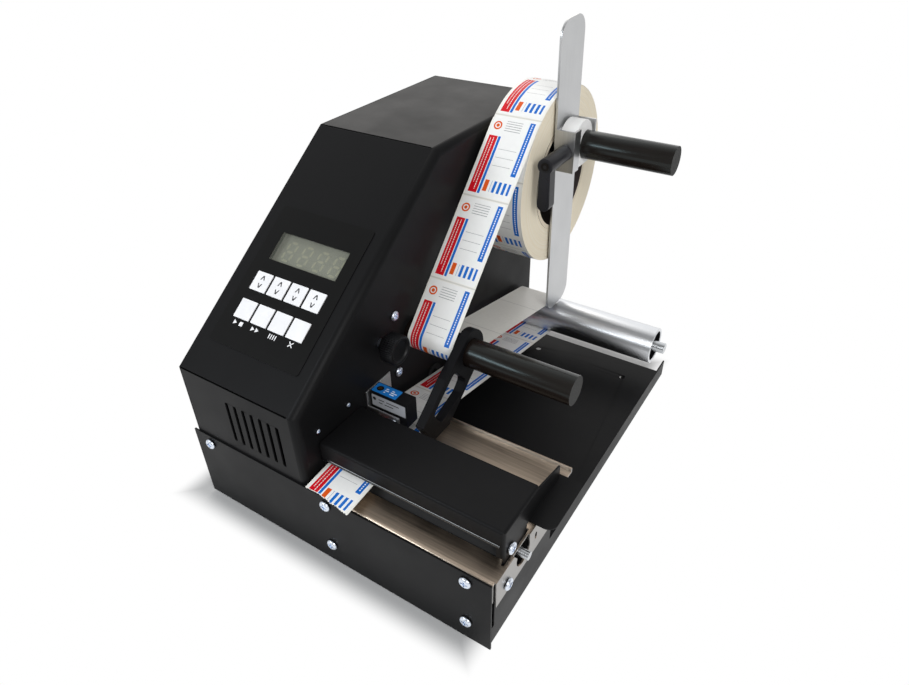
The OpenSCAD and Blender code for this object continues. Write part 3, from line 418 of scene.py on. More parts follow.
def printed_label(name, web, wide, tall):
    # Coated label paper, offset printed: white semi-gloss stock with flat solid inks.
    # Plain columns, rules, bars and a ring of the builder's own, in a print shop's red, blue and orange.
    made, tree, shader, place = start(name, {"IOR": 1.5, "Specular IOR Level": 0.2, "Roughness": 0.4})
    w, t = wide / MM, tall / MM
    spot = add(tree, "VectorMath", {0: place.node.outputs["UV"], 1: (w, t, 0)}, operation="MULTIPLY")
    u, v = (add(tree, "SeparateXYZ", {"Vector": spot}, out=axis) for axis in "XY")
    fibre = add(tree, "TexNoise", {"Vector": place, "Scale": per_metre(4), "Detail": 3.0})
    tone = add(tree, "Mix", {"Factor": fibre, "A": shade(web.paper, 0.96), "B": shade(web.paper, 1.03)},
               data_type="RGBA")
    red_low, red_high = t * 0.26, t - 2.2
    blue_left, blue_right, blue_low, blue_high = w - 6.6, w - 1.8, 2.2, t * 0.7
    bar_low, bar_high = t * 0.79, t * 0.93
    prints = [(block_of(tree, u, v, box, rows), rgb) for rgb, box, rows in (
        # Red column down the left edge with white rules, and a blue line beside it
        (web.red, (1.6, 10.0, red_low, red_high), None),
        (web.paper, (3.6, 4.3, red_low + 2, red_high - 9), (v, 1.7, 0.68)),
        (web.paper, (6.4, 7.1, red_low + 2, red_high - 3), (v, 2.3, 0.74)),
        (web.blue, (10.8, 13.2, red_low, red_high), None),
        # Blue column down the right edge, with a row of light squares
        (web.blue, (blue_left, blue_right, blue_low, blue_high), None),
        (web.paper, (blue_left + 1.9, blue_right - 1.9, blue_low + 2, blue_high - 2), (v, 2.1, 0.62)),
        # Grey rules between, bars at the lower right
        (web.grey, (13.5, 29.0, t * 0.06, t * 0.2), (v, 2.2, 0.24)),
        (web.grey, (15.0, w - 9.5, t * 0.34, t * 0.66), (v, 7.6, 0.045)),
        (web.blue, (w - 21.0, w - 2.4, bar_low, bar_high), (u, 4.7, 0.55)),
        (web.orange, (w - 27.5, w - 23.5, bar_low, bar_high), None),
    )]
    # Orange disc with a light ring at the upper left
    reach = add(tree, "VectorMath", {0: spot, 1: (6.2, t * 0.13, 0)}, operation="DISTANCE")
    prints += [(add(tree, "Math", {0: reach, 1: radius, 2: half}, operation="COMPARE"), rgb)
               for radius, half, rgb in ((0.0, 4.0, web.orange), (2.1, 0.5, web.paper))]
    for mask, rgb in prints:
        tone = add(tree, "Mix", {"Factor": mask, "A": tone, "B": rgba(rgb)}, data_type="RGBA")
    drive(tree, shader, tone, None, (fibre, 0.02, 0.3))
    return made


# ---------------------------------------------------------------- mesh helpers

def make_piece(name, bm, material, body, smooth=30):
    """Turns a bmesh into a piece that rides on a body; edges under the smooth angle are shaded round."""
    bmesh.ops.recalc_face_normals(bm, faces=bm.faces)
    mesh = bpy.data.meshes.new(name)
    bm.to_mesh(mesh)
    bm.free()
    mesh.materials.append(material)
    mesh.shade_smooth()
    mesh.set_sharp_from_angle(angle=math.radians(smooth))
    made = bpy.data.objects.new(name, mesh)
    bpy.context.scene.collection.objects.link(made)
    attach(made, body)
    return made


def finish_of(node):
    """Material that a CAD node was given."""
    return NODES[node].material_slots[0].material


def prism(bm, outline, origin, axes, low, high):
    """Adds a flat outline, given along the first two axes, raised from low to high along the third; all in
    millimetres."""
    right, up, out = axes
    rings = [[bm.verts.new(origin + (right * p[0] + up * p[1] + out * h) * MM) for p in outline]
             for h in (low, high)]
    bm.faces.new(rings[1])
    bm.faces.new(rings[0][::-1])
    for i in range(len(outline)):
        j = (i + 1) % len(outline)
        bm.faces.new((rings[0][i], rings[0][j], rings[1][j], rings[1][i]))


def flat_piece(name, origin, axes, parts, material, body):
    """Makes a piece of raised outlines, given as (outline, low, high)."""
    bm = bmesh.new()
    for outline, low, high in parts:
        prism(bm, outline, origin, axes, low, high)
    return make_piece(name, bm, material, body)


def ray_at(turn):
    """Unit vector in Y and Z at an angle."""
    return Vector((math.cos(turn), math.sin(turn)))


def turned_piece(name, profile, centre, material, body, steps, smooth=40, ribs=0, deep=0.0):
    """Makes a piece of a closed profile of (radius, X) turned about the X axis through centre; its widest
    part may be ribbed."""
    bm = bmesh.new()
    widest = max(r for r, _ in profile)
    rings = []
    for k in range(steps):
        turn = 2 * math.pi * k / steps
        dip = deep * (0.5 - 0.5 * math.cos(ribs * turn))
        ring = []
        for r, x in profile:
            spot = centre + ray_at(turn) * (r - (dip if r > widest - TINY else 0.0))
            ring.append(bm.verts.new((x, spot.x, spot.y)))
        rings.append(ring)
    for k in range(steps):
        a, b = rings[k], rings[(k + 1) % steps]
        for i in range(len(profile)):
            j = (i + 1) % len(profile)
            bm.faces.new((a[i], a[j], b[j], b[i]))
    return make_piece(name, bm, material, body, smooth)


def ribbon(bm, spots, left, right, thick, begin, whole, corner=0.0):
    """Adds a strip along spots of (distance, point, side), between two X places and thick along side.
    Its UV runs from 0 to 1 across and along, counted from begin over the whole length."""
    layer = bm.loops.layers.uv.verify()
    first, last = spots[0][0], spots[-1][0]
    rows, at_row = [], {}
    for distance, point, side in spots:
        near = min(distance - first, last - distance)
        inset = corner - math.sqrt(max(0.0, corner ** 2 - (corner - near) ** 2)) if near < corner else 0.0
        row = []
        x0, x1 = left + inset, right - inset
        for x, h in ((x0, 0.0), (x0, thick), (x1, thick), (x1, 0.0)):
            spot = point + side * h
            vert = bm.verts.new((x, spot.x, spot.y))
            at_row[vert] = ((x - left) / (right - left), (distance - begin) / whole)
            row.append(vert)
        rows.append(row)
    faces = [bm.faces.new(rows[0]), bm.faces.new(rows[-1][::-1])]
    for a, b in zip(rows, rows[1:]):
        for i in range(4):
            j = (i + 1) % 4
            faces.append(bm.faces.new((a[i], a[j], b[j], b[i])))
    for face in faces:
        for loop in face.loops:
            loop[layer].uv = at_row[loop.vert]


def torn_end(bm, spots, left, right, thick, begin, whole, slack=0.0):
    """Ends a strip along spots with the ragged tear; slack trims all of it."""
    layer = bm.loops.layers.uv.verify()
    (near, first, _), (far, last, side) = spots[0], spots[-1]
    ahead = (last - first).normalized()
    tooth, trim = 0.28 * MM, 0.5 * MM
    columns = []
    count = 60
    for i in range(count + 1):
        share = i / count
        for (a, short_a), (b, short_b) in zip(TEAR, TEAR[1:]):
            if a <= share <= b:
                short = (short_a + (short_b - short_a) * (share - a) / (b - a)) * MM
        # Torn fibres: small teeth of fixed pattern
        short += tooth * (math.sin(i * 1.9) + 0.7 * math.sin(i * 4.3 + 1)) + trim + slack
        column = []
        for distance in (0.0, far - near - short):
            for h in (0.0, thick):
                spot = first + ahead * distance + side * h
                vert = bm.verts.new((left + (right - left) * share, spot.x, spot.y))
                column.append((vert, (share, (near + distance - begin) / whole)))
        columns.append(column)

    def face(*corners):
        for loop, (_, uv) in zip(bm.faces.new([vert for vert, _ in corners]).loops, corners):
            loop[layer].uv = uv

    for a, b in zip(columns, columns[1:]):
        for i, j in ((0, 1), (1, 3), (3, 2), (2, 0)):
            face(a[i], a[j], b[j], b[i])
    for c in (columns[0], columns[-1]):
        face(c[0], c[1], c[3], c[2])


def disc(radius, centre=(0, 0), count=28):
    """Outline of a disc in millimetres."""
    rays = [ray_at(2 * math.pi * i / count) for i in range(count)]
    return [(centre[0] + radius * ray.x, centre[1] + radius * ray.y) for ray in rays]


def oblong(x0, x1, y0, y1, r=0.0):
    """Outline of an oblong with rounded corners, in millimetres."""
    if not r:
        return [(x0, y0), (x1, y0), (x1, y1), (x0, y1)]
    made = []
    corners = ((x1 - r, y0 + r, -90), (x1 - r, y1 - r, 0), (x0 + r, y1 - r, 90), (x0 + r, y0 + r, 180))
    for cx, cy, first in corners:
        rays = [ray_at(math.radians(first + 15 * i)) for i in range(7)]
        made += [(cx + r * ray.x, cy + r * ray.y) for ray in rays]
    return made


def circle_of(node):
    """Centre in Y and Z, and radius, of a round node on the X axis."""
    low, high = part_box(node)
    return Vector((low.y + high.y, low.z + high.z)) / 2, (high.z - low.z) / 2


def touch(c1, r1, c2, r2, way):
    """Normal of the line that touches two circles, as in the part's source."""
    gap = c2 - c1
    share = (r1 - r2) / gap.length
    u = gap.normalized()
    return share * u + way * math.sqrt(1 - share ** 2) * Vector((-u.y, u.x))


def heading(normal):
    """Angle of a normal in Y and Z."""
    return math.atan2(normal.y, normal.x)


def web_path():
    """Middle of the web as (distance, point, side): distance counts from where the web leaves the roll,
    and side points away from the print."""
    gap, turn = WEB_GAP, 2 * math.pi
    # Part of a turn that still lies on the roll, and the steps of the arcs and of the straight runs
    wrap, arc_step, run_step = math.radians(6), math.radians(3), 2 * MM
    roll, roll_r = circle_of("label_roll")
    post, post_r = circle_of("guide_post")
    rear, rear_r = circle_of("rear_roller")
    feed, feed_r = circle_of("feed_roller")
    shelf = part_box("rear_shelf")[1]
    lip = Vector((shelf.y, shelf.z))
    tip = at(0, *WEB_TIP).yz
    to_post = touch(roll, roll_r + gap, post, post_r + gap, -1)
    to_rear = touch(post, post_r + gap, rear, -rear_r - gap, -1)
    to_lip = touch(rear, rear_r + gap, lip, -gap, 1)
    to_nip = touch(lip, gap, feed, feed_r + gap, -1)
    to_tip = touch(feed, feed_r + gap, tip, 0, -1)
    arcs = [
        (roll, roll_r + gap, heading(to_post) - wrap, heading(to_post), -1),
        (post, post_r + gap, heading(to_post), heading(to_rear) + turn, -1),
        (rear, rear_r + gap, heading(to_rear) + turn / 2, heading(to_lip), 1),
        (lip, gap, heading(to_lip) + turn / 2, heading(to_nip), -1),
        (feed, feed_r + gap, heading(to_nip), heading(to_tip), -1),
    ]
    knots = []
    for centre, radius, a0, a1, way in arcs:
        count = max(2, round(abs(a1 - a0) / arc_step))
        for i in range(count + 1):
            ray = ray_at(a0 + (a1 - a0) * i / count)
            knots.append((centre + ray * radius, ray * way))
    knots.append((tip, -to_tip))
    spots = [(0.0, *knots[0])]
    for point, side in knots[1:]:
        distance, last, last_side = spots[-1]
        run = (point - last).length
        if run < TINY:
            continue
        steps = max(1, round(run / run_step))
        for i in range(1, steps + 1):
            share = i / steps
            spots.append((distance + run * share, last.lerp(point, share),
                          last_side.lerp(side, share).normalized()))
    leave = (roll_r + gap) * wrap
    return [(distance - leave, point, side) for distance, point, side in spots]


def between(spots, begin, end):
    """The part of a path between two distances, with its ends placed exactly."""
    def place(distance):
        for a, b in zip(spots, spots[1:]):
            if a[0] <= distance <= b[0]:
                share = (distance - a[0]) / (b[0] - a[0])
                return distance, a[1].lerp(b[1], share), a[2].lerp(b[2], share).normalized()
        raise ValueError(f"no place at {distance} on the path")

    close = 0.01 * MM
    inner = [spot for spot in spots if begin + close < spot[0] < end - close]
    return [place(begin), *inner, place(end)]


def finer(spots, begin, end, corner):
    """As between, with extra places for the rounded corners."""
    marks = [0.04, 0.13, 0.3, 0.55, 1]
    ends = [begin + corner * m for m in marks] + [end - corner * m for m in reversed(marks)]
    cuts = [begin, *[e for e in ends if begin < e < end], end]
    made = []
    for a, b in zip(cuts, cuts[1:]):
        part = between(spots, a, b)
        made += part if not made else part[1:]
    return made


# ---------------------------------------------------------------- operators

class PieceOperator:
    """What all operators of the label counter share"""

    bl_options = {"REGISTER", "UNDO"}

    def settings(self, context):
        return context.scene.label_counter


class LABELCOUNTER_OT_finishes(PieceOperator, bpy.types.Operator):
    """Give the CAD pieces their finishes and soften their edges"""

    bl_idname = "label_counter.finishes"
    bl_label = "Finishes"

    # Pieces whose edges stay as the CAD has them
    crisp = ("label_roll", "roll_core", "display_window", "front_plate")

    def execute(self, context):
        s = self.settings(context).finishes
        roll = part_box("label_roll")
        middle = (roll[0] + roll[1]) / 2
        finishes = {
            powder_coat("powder_coated_steel", s.paint):
                "base_pan front_plate housing_shell left_panel pressure_cover",
            moulded_plastic("matt_panel_film", s.overlay, rough=0.4, grain=1.2, depth=0.01, shine=0.1):
                "panel_overlay",
            brushed_steel("brushed_stainless", s.steel, along=0, rough=0.36, grain=1.6, film=s.film):
                "feed_deck rear_shelf motor_bracket",
            brushed_steel("brushed_stainless_upright", linear("#c6c7c8"), along=2, rough=0.34):
                "roll_guide_strip clamp_bracket sensor_bracket",
            plated_zinc("zinc_plated_steel", s.zinc):
                "plate_screws wall_screws cover_pivots sensor_screws bar_screws lever_screw board_standoffs "
                "sensor_stud",
            turned_metal("turned_steel", linear("#c4c7ca"), rough=0.24):
                "motor_shaft feed_shaft feed_bearings pressure_shaft rear_axle motor_pulley feed_pulley",
            turned_metal("turned_aluminium", s.roller, rough=0.36): "rear_roller",
            bar_oxide("blackened_steel_bar", s.bar): "guide_post supply_spindle",
            moulded_plastic("moulded_black_nylon", s.plastic, shine=0.25):
                "sensor_body sensor_knob power_jack switch_frame power_rocker drive_motor",
            moulded_plastic("glass_filled_nylon", linear("#202024"), depth=0.02, shine=0.35): "clamp_lever",
            moulded_plastic("machined_black_acetal", s.plastic, rough=0.5, grain=1.2, depth=0.01, shine=0.1):
                "edge_guide roller_caps",
            moulded_rubber("moulded_rubber", linear("#161617")):
                "rubber_feet cable_grommet drive_belt feed_roller pressure_roller",
            moulded_plastic("white_key_abs", s.key, rough=0.36, grain=0.7, depth=0.01):
                " ".join(f"{row}_key_{i}" for row in ("digit", "function") for i in range(1, 5)),
            smoked_acrylic("smoked_acrylic"): "display_window",
            moulded_plastic("grey_display_case", linear("#b2b4a4"), rough=0.45): "display_module",
            moulded_plastic("green_circuit_board", linear("#1f5a35"), rough=0.4):
                "control_board key_switches",
            wound_paper("wound_paper_edge", middle): "label_roll",
            core_board("wound_core_board"): "roll_core",
            moulded_plastic("white_nylon", linear("#fdfdfb"), rough=0.4, depth=0.01): "guide_bush",
        }
        dressed = set()
        for material, names in finishes.items():
            for name in names.split():
                node = NODES[name]
                if not node.material_slots:
                    node.data.materials.append(material)
                for slot in node.material_slots:
                    slot.material = material
                dressed.add(name)
                if name in self.crisp:
                    continue
                weld = node.modifiers.new("Join seams", "WELD")
                weld.merge_threshold = 0.005 * MM
                soft = node.modifiers.new("Rounded edges", "BEVEL")
                soft.width = s.edge_round
                soft.segments = 2
                soft.limit_method = "ANGLE"
                soft.angle_limit = math.radians(35)
                soft.use_clamp_overlap = True
                soft.harden_normals = True
        left = set(NODES) - dressed - {"label_web"}
        if left:
            raise RuntimeError(f"no finish for {sorted(left)}")
        return {"FINISHED"}


class LABELCOUNTER_OT_web(PieceOperator, bpy.types.Operator):
    """Build the liner and its die-cut labels from the roll to the outlet"""

    bl_idname = "label_counter.web"
    bl_label = "Label web"

    def execute(self, context):
        s = self.settings(context).web
        low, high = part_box("label_web")
        spots = web_path()
        begin, end = spots[0][0], spots[-1][0]
        held = end - TORN_RUN
        torn = between(spots, held, end)
        uv = (s.first - s.pitch / 2, LINER_LABELS * s.pitch)
        bm = bmesh.new()
        ribbon(bm, between(spots, begin, held), low.x, high.x, s.liner_t, *uv)
        torn_end(bm, torn, low.x, high.x, s.liner_t, *uv)
        liner = make_piece("web_liner", bm, liner_paper("glassine_liner", s.liner), "frame")
        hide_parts("label_web")
        # Labels stay this far behind the liner's tear, and none starts in the last millimetres before it
        back_off, least = 0.5 * MM, 4 * MM
        left, right, tall = low.x + s.margin, high.x - s.margin, s.pitch - s.gap
        bm = bmesh.new()
        head = s.first - s.pitch + s.gap / 2
        while head < held - least:
            part = finer(spots, max(head, begin), min(head + tall, held), s.corner)
            whole = head >= begin and head + tall <= held
            ribbon(bm, part, left, right, -s.label_t, head, tall, s.corner if whole else 0.0)
            if head < held < head + tall:
                torn_end(bm, torn, left, right, -s.label_t, head, tall, back_off)
            head += s.pitch
        wide = high.x - low.x - 2 * s.margin
        labels = make_piece("web_labels", bm, printed_label("printed_label_paper", s, wide, tall), "frame")
        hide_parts("label_web")
        return {"FINISHED"}


class LABELCOUNTER_OT_roll(PieceOperator, bpy.types.Operator):
    """Build the wound roll with its outer turn of labels"""

    bl_idname = "label_counter.roll"
    bl_label = "Label roll"

    def execute(self, context):
        s = self.settings(context).web
        low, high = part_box("label_roll")
        centre, radius = circle_of("label_roll")
        inner = circle_of("roll_core")[1]
        out = radius - s.label_t - s.liner_t
        # Edges of the turns wander a little from side to side
        turns, inset, stray = 44, 0.2 * MM, 0.16 * MM

        def edge(i, place, seed):
            wander = stray * math.sin(i * 1.7 + seed) * math.sin(i * 0.53 + 2 * seed)
            return inner + (out - inner) * i / turns, place + wander

        profile = [edge(i, low.x + inset, 0.4) for i in range(turns + 1)]
        profile += [edge(i, high.x - inset, 1.9) for i in range(turns, -1, -1)]
        wound = turned_piece("wound_roll", profile, centre, finish_of("label_roll"), "supply_roll",
                             steps=144, smooth=60)
        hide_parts("label_roll")
        # Outer turn: distances run on from the web, back round the roll
        leave = heading(touch(centre, radius + WEB_GAP, *circle_of("guide_post"), -1))
        around = 2 * math.pi * radius
        count = 180
        spots = []
        for i in range(count + 1):
            rest = 1 - i / count
            ray = ray_at(leave - 2 * math.pi * rest)
            spots.append((-around * rest, centre + ray * (radius - s.label_t), -ray))
        bm = bmesh.new()
        ribbon(bm, spots, low.x, high.x, s.liner_t, s.first - s.pitch / 2, LINER_LABELS * s.pitch)
        make_piece("roll_liner", bm, bpy.data.materials["glassine_liner"], "supply_roll")
        # Ends of labels shorter than these are left out, where the turn ends and where it starts
        least, least_start = 5 * MM, 6 * MM
        left, right, tall = low.x + s.margin, high.x - s.margin, s.pitch - s.gap
        bm = bmesh.new()
        head = s.first - s.pitch + s.gap / 2
        while head + tall > -around + least_start:
            first, last = max(head, -around), min(head + tall, 0.0)
            if last - first > least:
                part = finer(spots, first, last, s.corner)
                whole = last - first > tall - TINY
                ribbon(bm, part, left, right, -s.label_t, head, tall, s.corner if whole else 0.0)
            head -= s.pitch
        make_piece("roll_labels", bm, bpy.data.materials["printed_label_paper"], "supply_roll")
        return {"FINISHED"}


class LABELCOUNTER_OT_panel(PieceOperator, bpy.types.Operator):
    """Add the key arrows, the panel's signs and the display digits"""

    bl_idname = "label_counter.panel"
    bl_label = "Panel"

    @staticmethod
    def face(node):
        """Middle of a panel node's outer face."""
        spots = [v.co for v in NODES[node].data.vertices]
        out = max(p.dot(OUT) for p in spots)
        across = [p.x for p in spots]
        near = out - 0.2 * MM
        up = [p.dot(UP_SLOPE) for p in spots if p.dot(OUT) > near]
        return ACROSS * (min(across) + max(across)) / 2 + UP_SLOPE * (min(up) + max(up)) / 2 + OUT * out

    @staticmethod
    def digit(middle):
        """Outlines of a digit's seven slanted bars, about a place across the display."""
        long, wide, slant, spread, gap = 7.4, 2.2, 0.1, 1.15, 0.35
        half, tip = long / 2 - gap, wide / 2
        lying = [(-half, 0), (-half + tip, tip), (half - tip, tip), (half, 0), (half - tip, -tip),
                 (-half + tip, -tip)]
        standing = [(-y, x) for x, y in lying]
        bars = [(0, y, lying) for y in (long, 0, -long)]
        bars += [(x, y, standing) for y in (long / 2, -long / 2) for x in (-long / 2, long / 2)]
        return [[(middle + cx * spread + x + slant * (cy * spread + y), cy * spread + y) for x, y in bar]
                for cx, cy, bar in bars]

    def execute(self, context):
        ink = moulded_plastic("black_key_ink", linear("#15151a"), rough=0.5, depth=0.005)
        arrow = [(-2.3, 1.6), (-1.3, 1.6), (0, 4.5), (1.3, 1.6), (2.3, 1.6), (0.6, 5.6), (-0.6, 5.6)]
        for i in range(1, 5):
            name = f"digit_key_{i}"
            arrows = [(shape, -0.05, 0.06) for shape in (arrow, [(-x, -y) for x, y in arrow])]
            flat_piece(f"key_arrows_{i}", self.face(name), PANEL, arrows, ink, f"{name}_cap")
        # White signs under the lower keys: triangle and square, two triangles, four bars, a cross
        white = moulded_plastic("white_screen_ink", linear("#eeeef0"), rough=0.55, depth=0.005)
        film = self.face("panel_overlay").dot(OUT)
        below = 12.5 * MM
        slash = [(-2.4, -1.8), (-1.8, -2.4), (2.4, 1.8), (1.8, 2.4)]
        signs = {
            1: [[(-5, -2), (-5, 2), (-1.4, 0)], oblong(1.4, 5, -1.8, 1.8)],
            2: [[(-4.4, -2), (-4.4, 2), (-0.9, 0)], [(0.2, -2), (0.2, 2), (3.7, 0)]],
            3: [oblong(x, x + 0.9, -2, 2) for x in (-4.2, -2.0, 0.2, 2.4)],
            4: [slash, [(-y, x) for x, y in slash]],
        }
        bm = bmesh.new()
        for i, shapes in signs.items():
            middle = self.face(f"function_key_{i}")
            spot = ACROSS * middle.x + UP_SLOPE * (middle.dot(UP_SLOPE) - below) + OUT * film
            for shape in shapes:
                prism(bm, shape, spot, PANEL, -0.05, 0.05)
        make_piece("panel_signs", bm, white, "frame")
        # Unlit bars of four digits on the display's face
        pale = moulded_plastic("unlit_digit_bars", linear("#d0d2b6"), rough=0.4, depth=0.005)
        pitch = 17
        bars = [(bar, -0.05, 0.12) for k in range(4) for bar in self.digit((k - 1.5) * pitch)]
        flat_piece("display_digits", self.face("display_module"), PANEL, bars, pale, "frame")
        return {"FINISHED"}


class LABELCOUNTER_OT_fittings(PieceOperator, bpy.types.Operator):
    """Add the sensor's films and adjuster, the lever's pad and screw, the cover's hem, a dark sleeve that
    paints shade in the rear roller's bore, and the knob's ribs and dish"""

    bl_idname = "label_counter.fittings"
    bl_label = "Fittings"

    def execute(self, context):
        # Very dark plastic: printed marks on the sensor's film, and painted shade in recesses and a screw's
        # socket
        dark = moulded_plastic("dark_print_and_painted_recess_shade", linear("#08080a"), rough=0.5)
        blue = moulded_plastic("blue_printed_film", linear("#1e78c8"), rough=0.32, grain=1.2, depth=0.005)
        white = moulded_plastic("white_printed_film", linear("#dfeaf5"), rough=0.4, depth=0.005)
        pale = moulded_plastic("pale_grey_film", linear("#b4b7bd"), rough=0.35, grain=1.2, depth=0.005)
        brass = turned_metal("turned_brass", linear("#a5804a"), rough=0.3)
        # Sensor: blue film on top with an adjuster in a dark rim that is painted shade of its recess, pale
        # film in front with dark printed marks
        low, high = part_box("sensor_body")
        edge = Vector((low.x, low.y, high.z))
        adjuster = (6.6, 6.6)
        top_marks = [(oblong(x0, x1, y - 0.5, y + 0.5), 0.05, 0.16) for x0, x1, y in (
            (11.5, 14, 8.6), (11.5, 15.5, 6.4), (11.5, 13, 4.2), (17.5, 20, 8.6), (17.5, 23.5, 6.4),
            (17.5, 22, 4.2))]
        front_marks = [(disc(1.7, (4.6, -6.6)), 0, 0.2)]
        front_marks += [(oblong(x0, x1, z - 0.45, z + 0.45), 0, 0.16) for x0, x1, z in (
            (9, 15, -6.2), (17, 30, -6.2), (9, 13, -9.4), (15, 24, -9.4))]
        for name, axes, parts, material, slot in (
                ("sensor_top_film", LEVEL, [(oblong(0.8, 25.8, 1, 12.2, 0.8), -0.1, 0.12)], blue,
                 "overlay_film"),
                ("sensor_top_marks", LEVEL, top_marks, white, "overlay_film"),
                ("sensor_adjuster_rim_shade", LEVEL, [(disc(3.1, adjuster), -0.1, 0.3)], dark, "black_plastic"),
                ("sensor_adjuster", LEVEL, [(disc(1.8, adjuster), 0, 0.42)], brass, "machined_steel"),
                ("sensor_front_film", FRONT, [(oblong(2, 36.4, -14.5, -2.6, 0.6), -0.1, 0.12)], pale,
                 "overlay_film"),
                ("sensor_front_marks", FRONT, front_marks, dark, "black_plastic")):
            flat_piece(name, edge, axes, parts, material, "frame")
        # Clamp lever: a raised pad along the arm, and a socket screw in the boss; the dark disc round the
        # screw and the dark hexagon on its head are painted shade of the recess and the socket
        low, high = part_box("clamp_lever")
        boss = Vector(((low.x + high.x) / 2, low.y, high.z - (high.x - low.x) / 2))
        boss_r, pad_gap = 7, 2.4
        pad_low = boss_r + pad_gap - (high.z - low.z) / MM
        oxide = bpy.data.materials["blackened_steel_bar"]
        for name, part, material, slot in (
                ("lever_pad", (oblong(-3.9, 3.9, pad_low, -9.5, 3.8), -0.2, 0.35), finish_of("clamp_lever"),
                 "black_plastic"),
                ("lever_boss_recess_shade", (disc(5.2), -0.2, 0.12), dark, "black_plastic"),
                ("lever_boss_screw", (disc(3.6), 0, 0.7), oxide, "gloss_black"),
                ("lever_boss_socket_shade", (disc(1.7, count=6), 0.3, 0.74), dark, "black_plastic")):
            flat_piece(name, boss, FRONT, [part], material, "lever")
        # Cover: the rolled hem is worn to a shine along its whole length
        worn = moulded_plastic("burnished_black_paint", linear("#0e0e0f"), rough=0.1, grain=6.0, depth=0.004,
                               shine=0.8)
        hem_start, hem_radius, hem_long = at(133.2, 20.9, 96), 1.7, 161.5
        flat_piece("cover_hem", hem_start, SIDE, [(disc(hem_radius, count=24), 0, hem_long)], worn, "cover")
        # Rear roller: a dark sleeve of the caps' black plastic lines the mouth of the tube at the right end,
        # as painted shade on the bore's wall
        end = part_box("rear_roller")[1].x
        centre, radius = circle_of("rear_roller")
        outer, inner = radius - 3.05 * MM, radius - 3.6 * MM
        deep, mouth = end - 4.2 * MM, end - 0.6 * MM
        bore_shade = [(inner, deep), (outer, deep), (outer, mouth), (inner, mouth)]
        turned_piece("roller_bore_shade_sleeve", bore_shade, centre, finish_of("roller_caps"), "rear_idler",
                     steps=48)
        # Sensor knob: ribbed rim and dished face; its profile runs from the bore along the hub, rim and dish
        low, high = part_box("sensor_knob")
        centre, radius = circle_of("sensor_knob")
        bore, hub, dimple = 4.1 * MM, 8 * MM, 0.8 * MM
        shoulder = low.x + 4 * MM
        profile = [(bore, low.x), (hub, low.x), (hub, shoulder), (radius - 1.2 * MM, shoulder),
                   (radius, shoulder + 1 * MM)]
        profile += [(radius - r * MM, high.x - x * MM) for r, x in (
            (0, 1.2), (0.5, 0.4), (1.3, 0), (2.6, 0), (3.3, 0.5), (4, 2))]
        profile += [(dimple, high.x - 2.2 * MM), (dimple, high.x - 3.4 * MM), (bore, high.x - 3.4 * MM)]
        knob = turned_piece("ribbed_knob", profile, centre, finish_of("sensor_knob"), "knob",
                            steps=264, ribs=44, deep=0.9 * MM)
        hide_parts("sensor_knob")
        return {"FINISHED"}


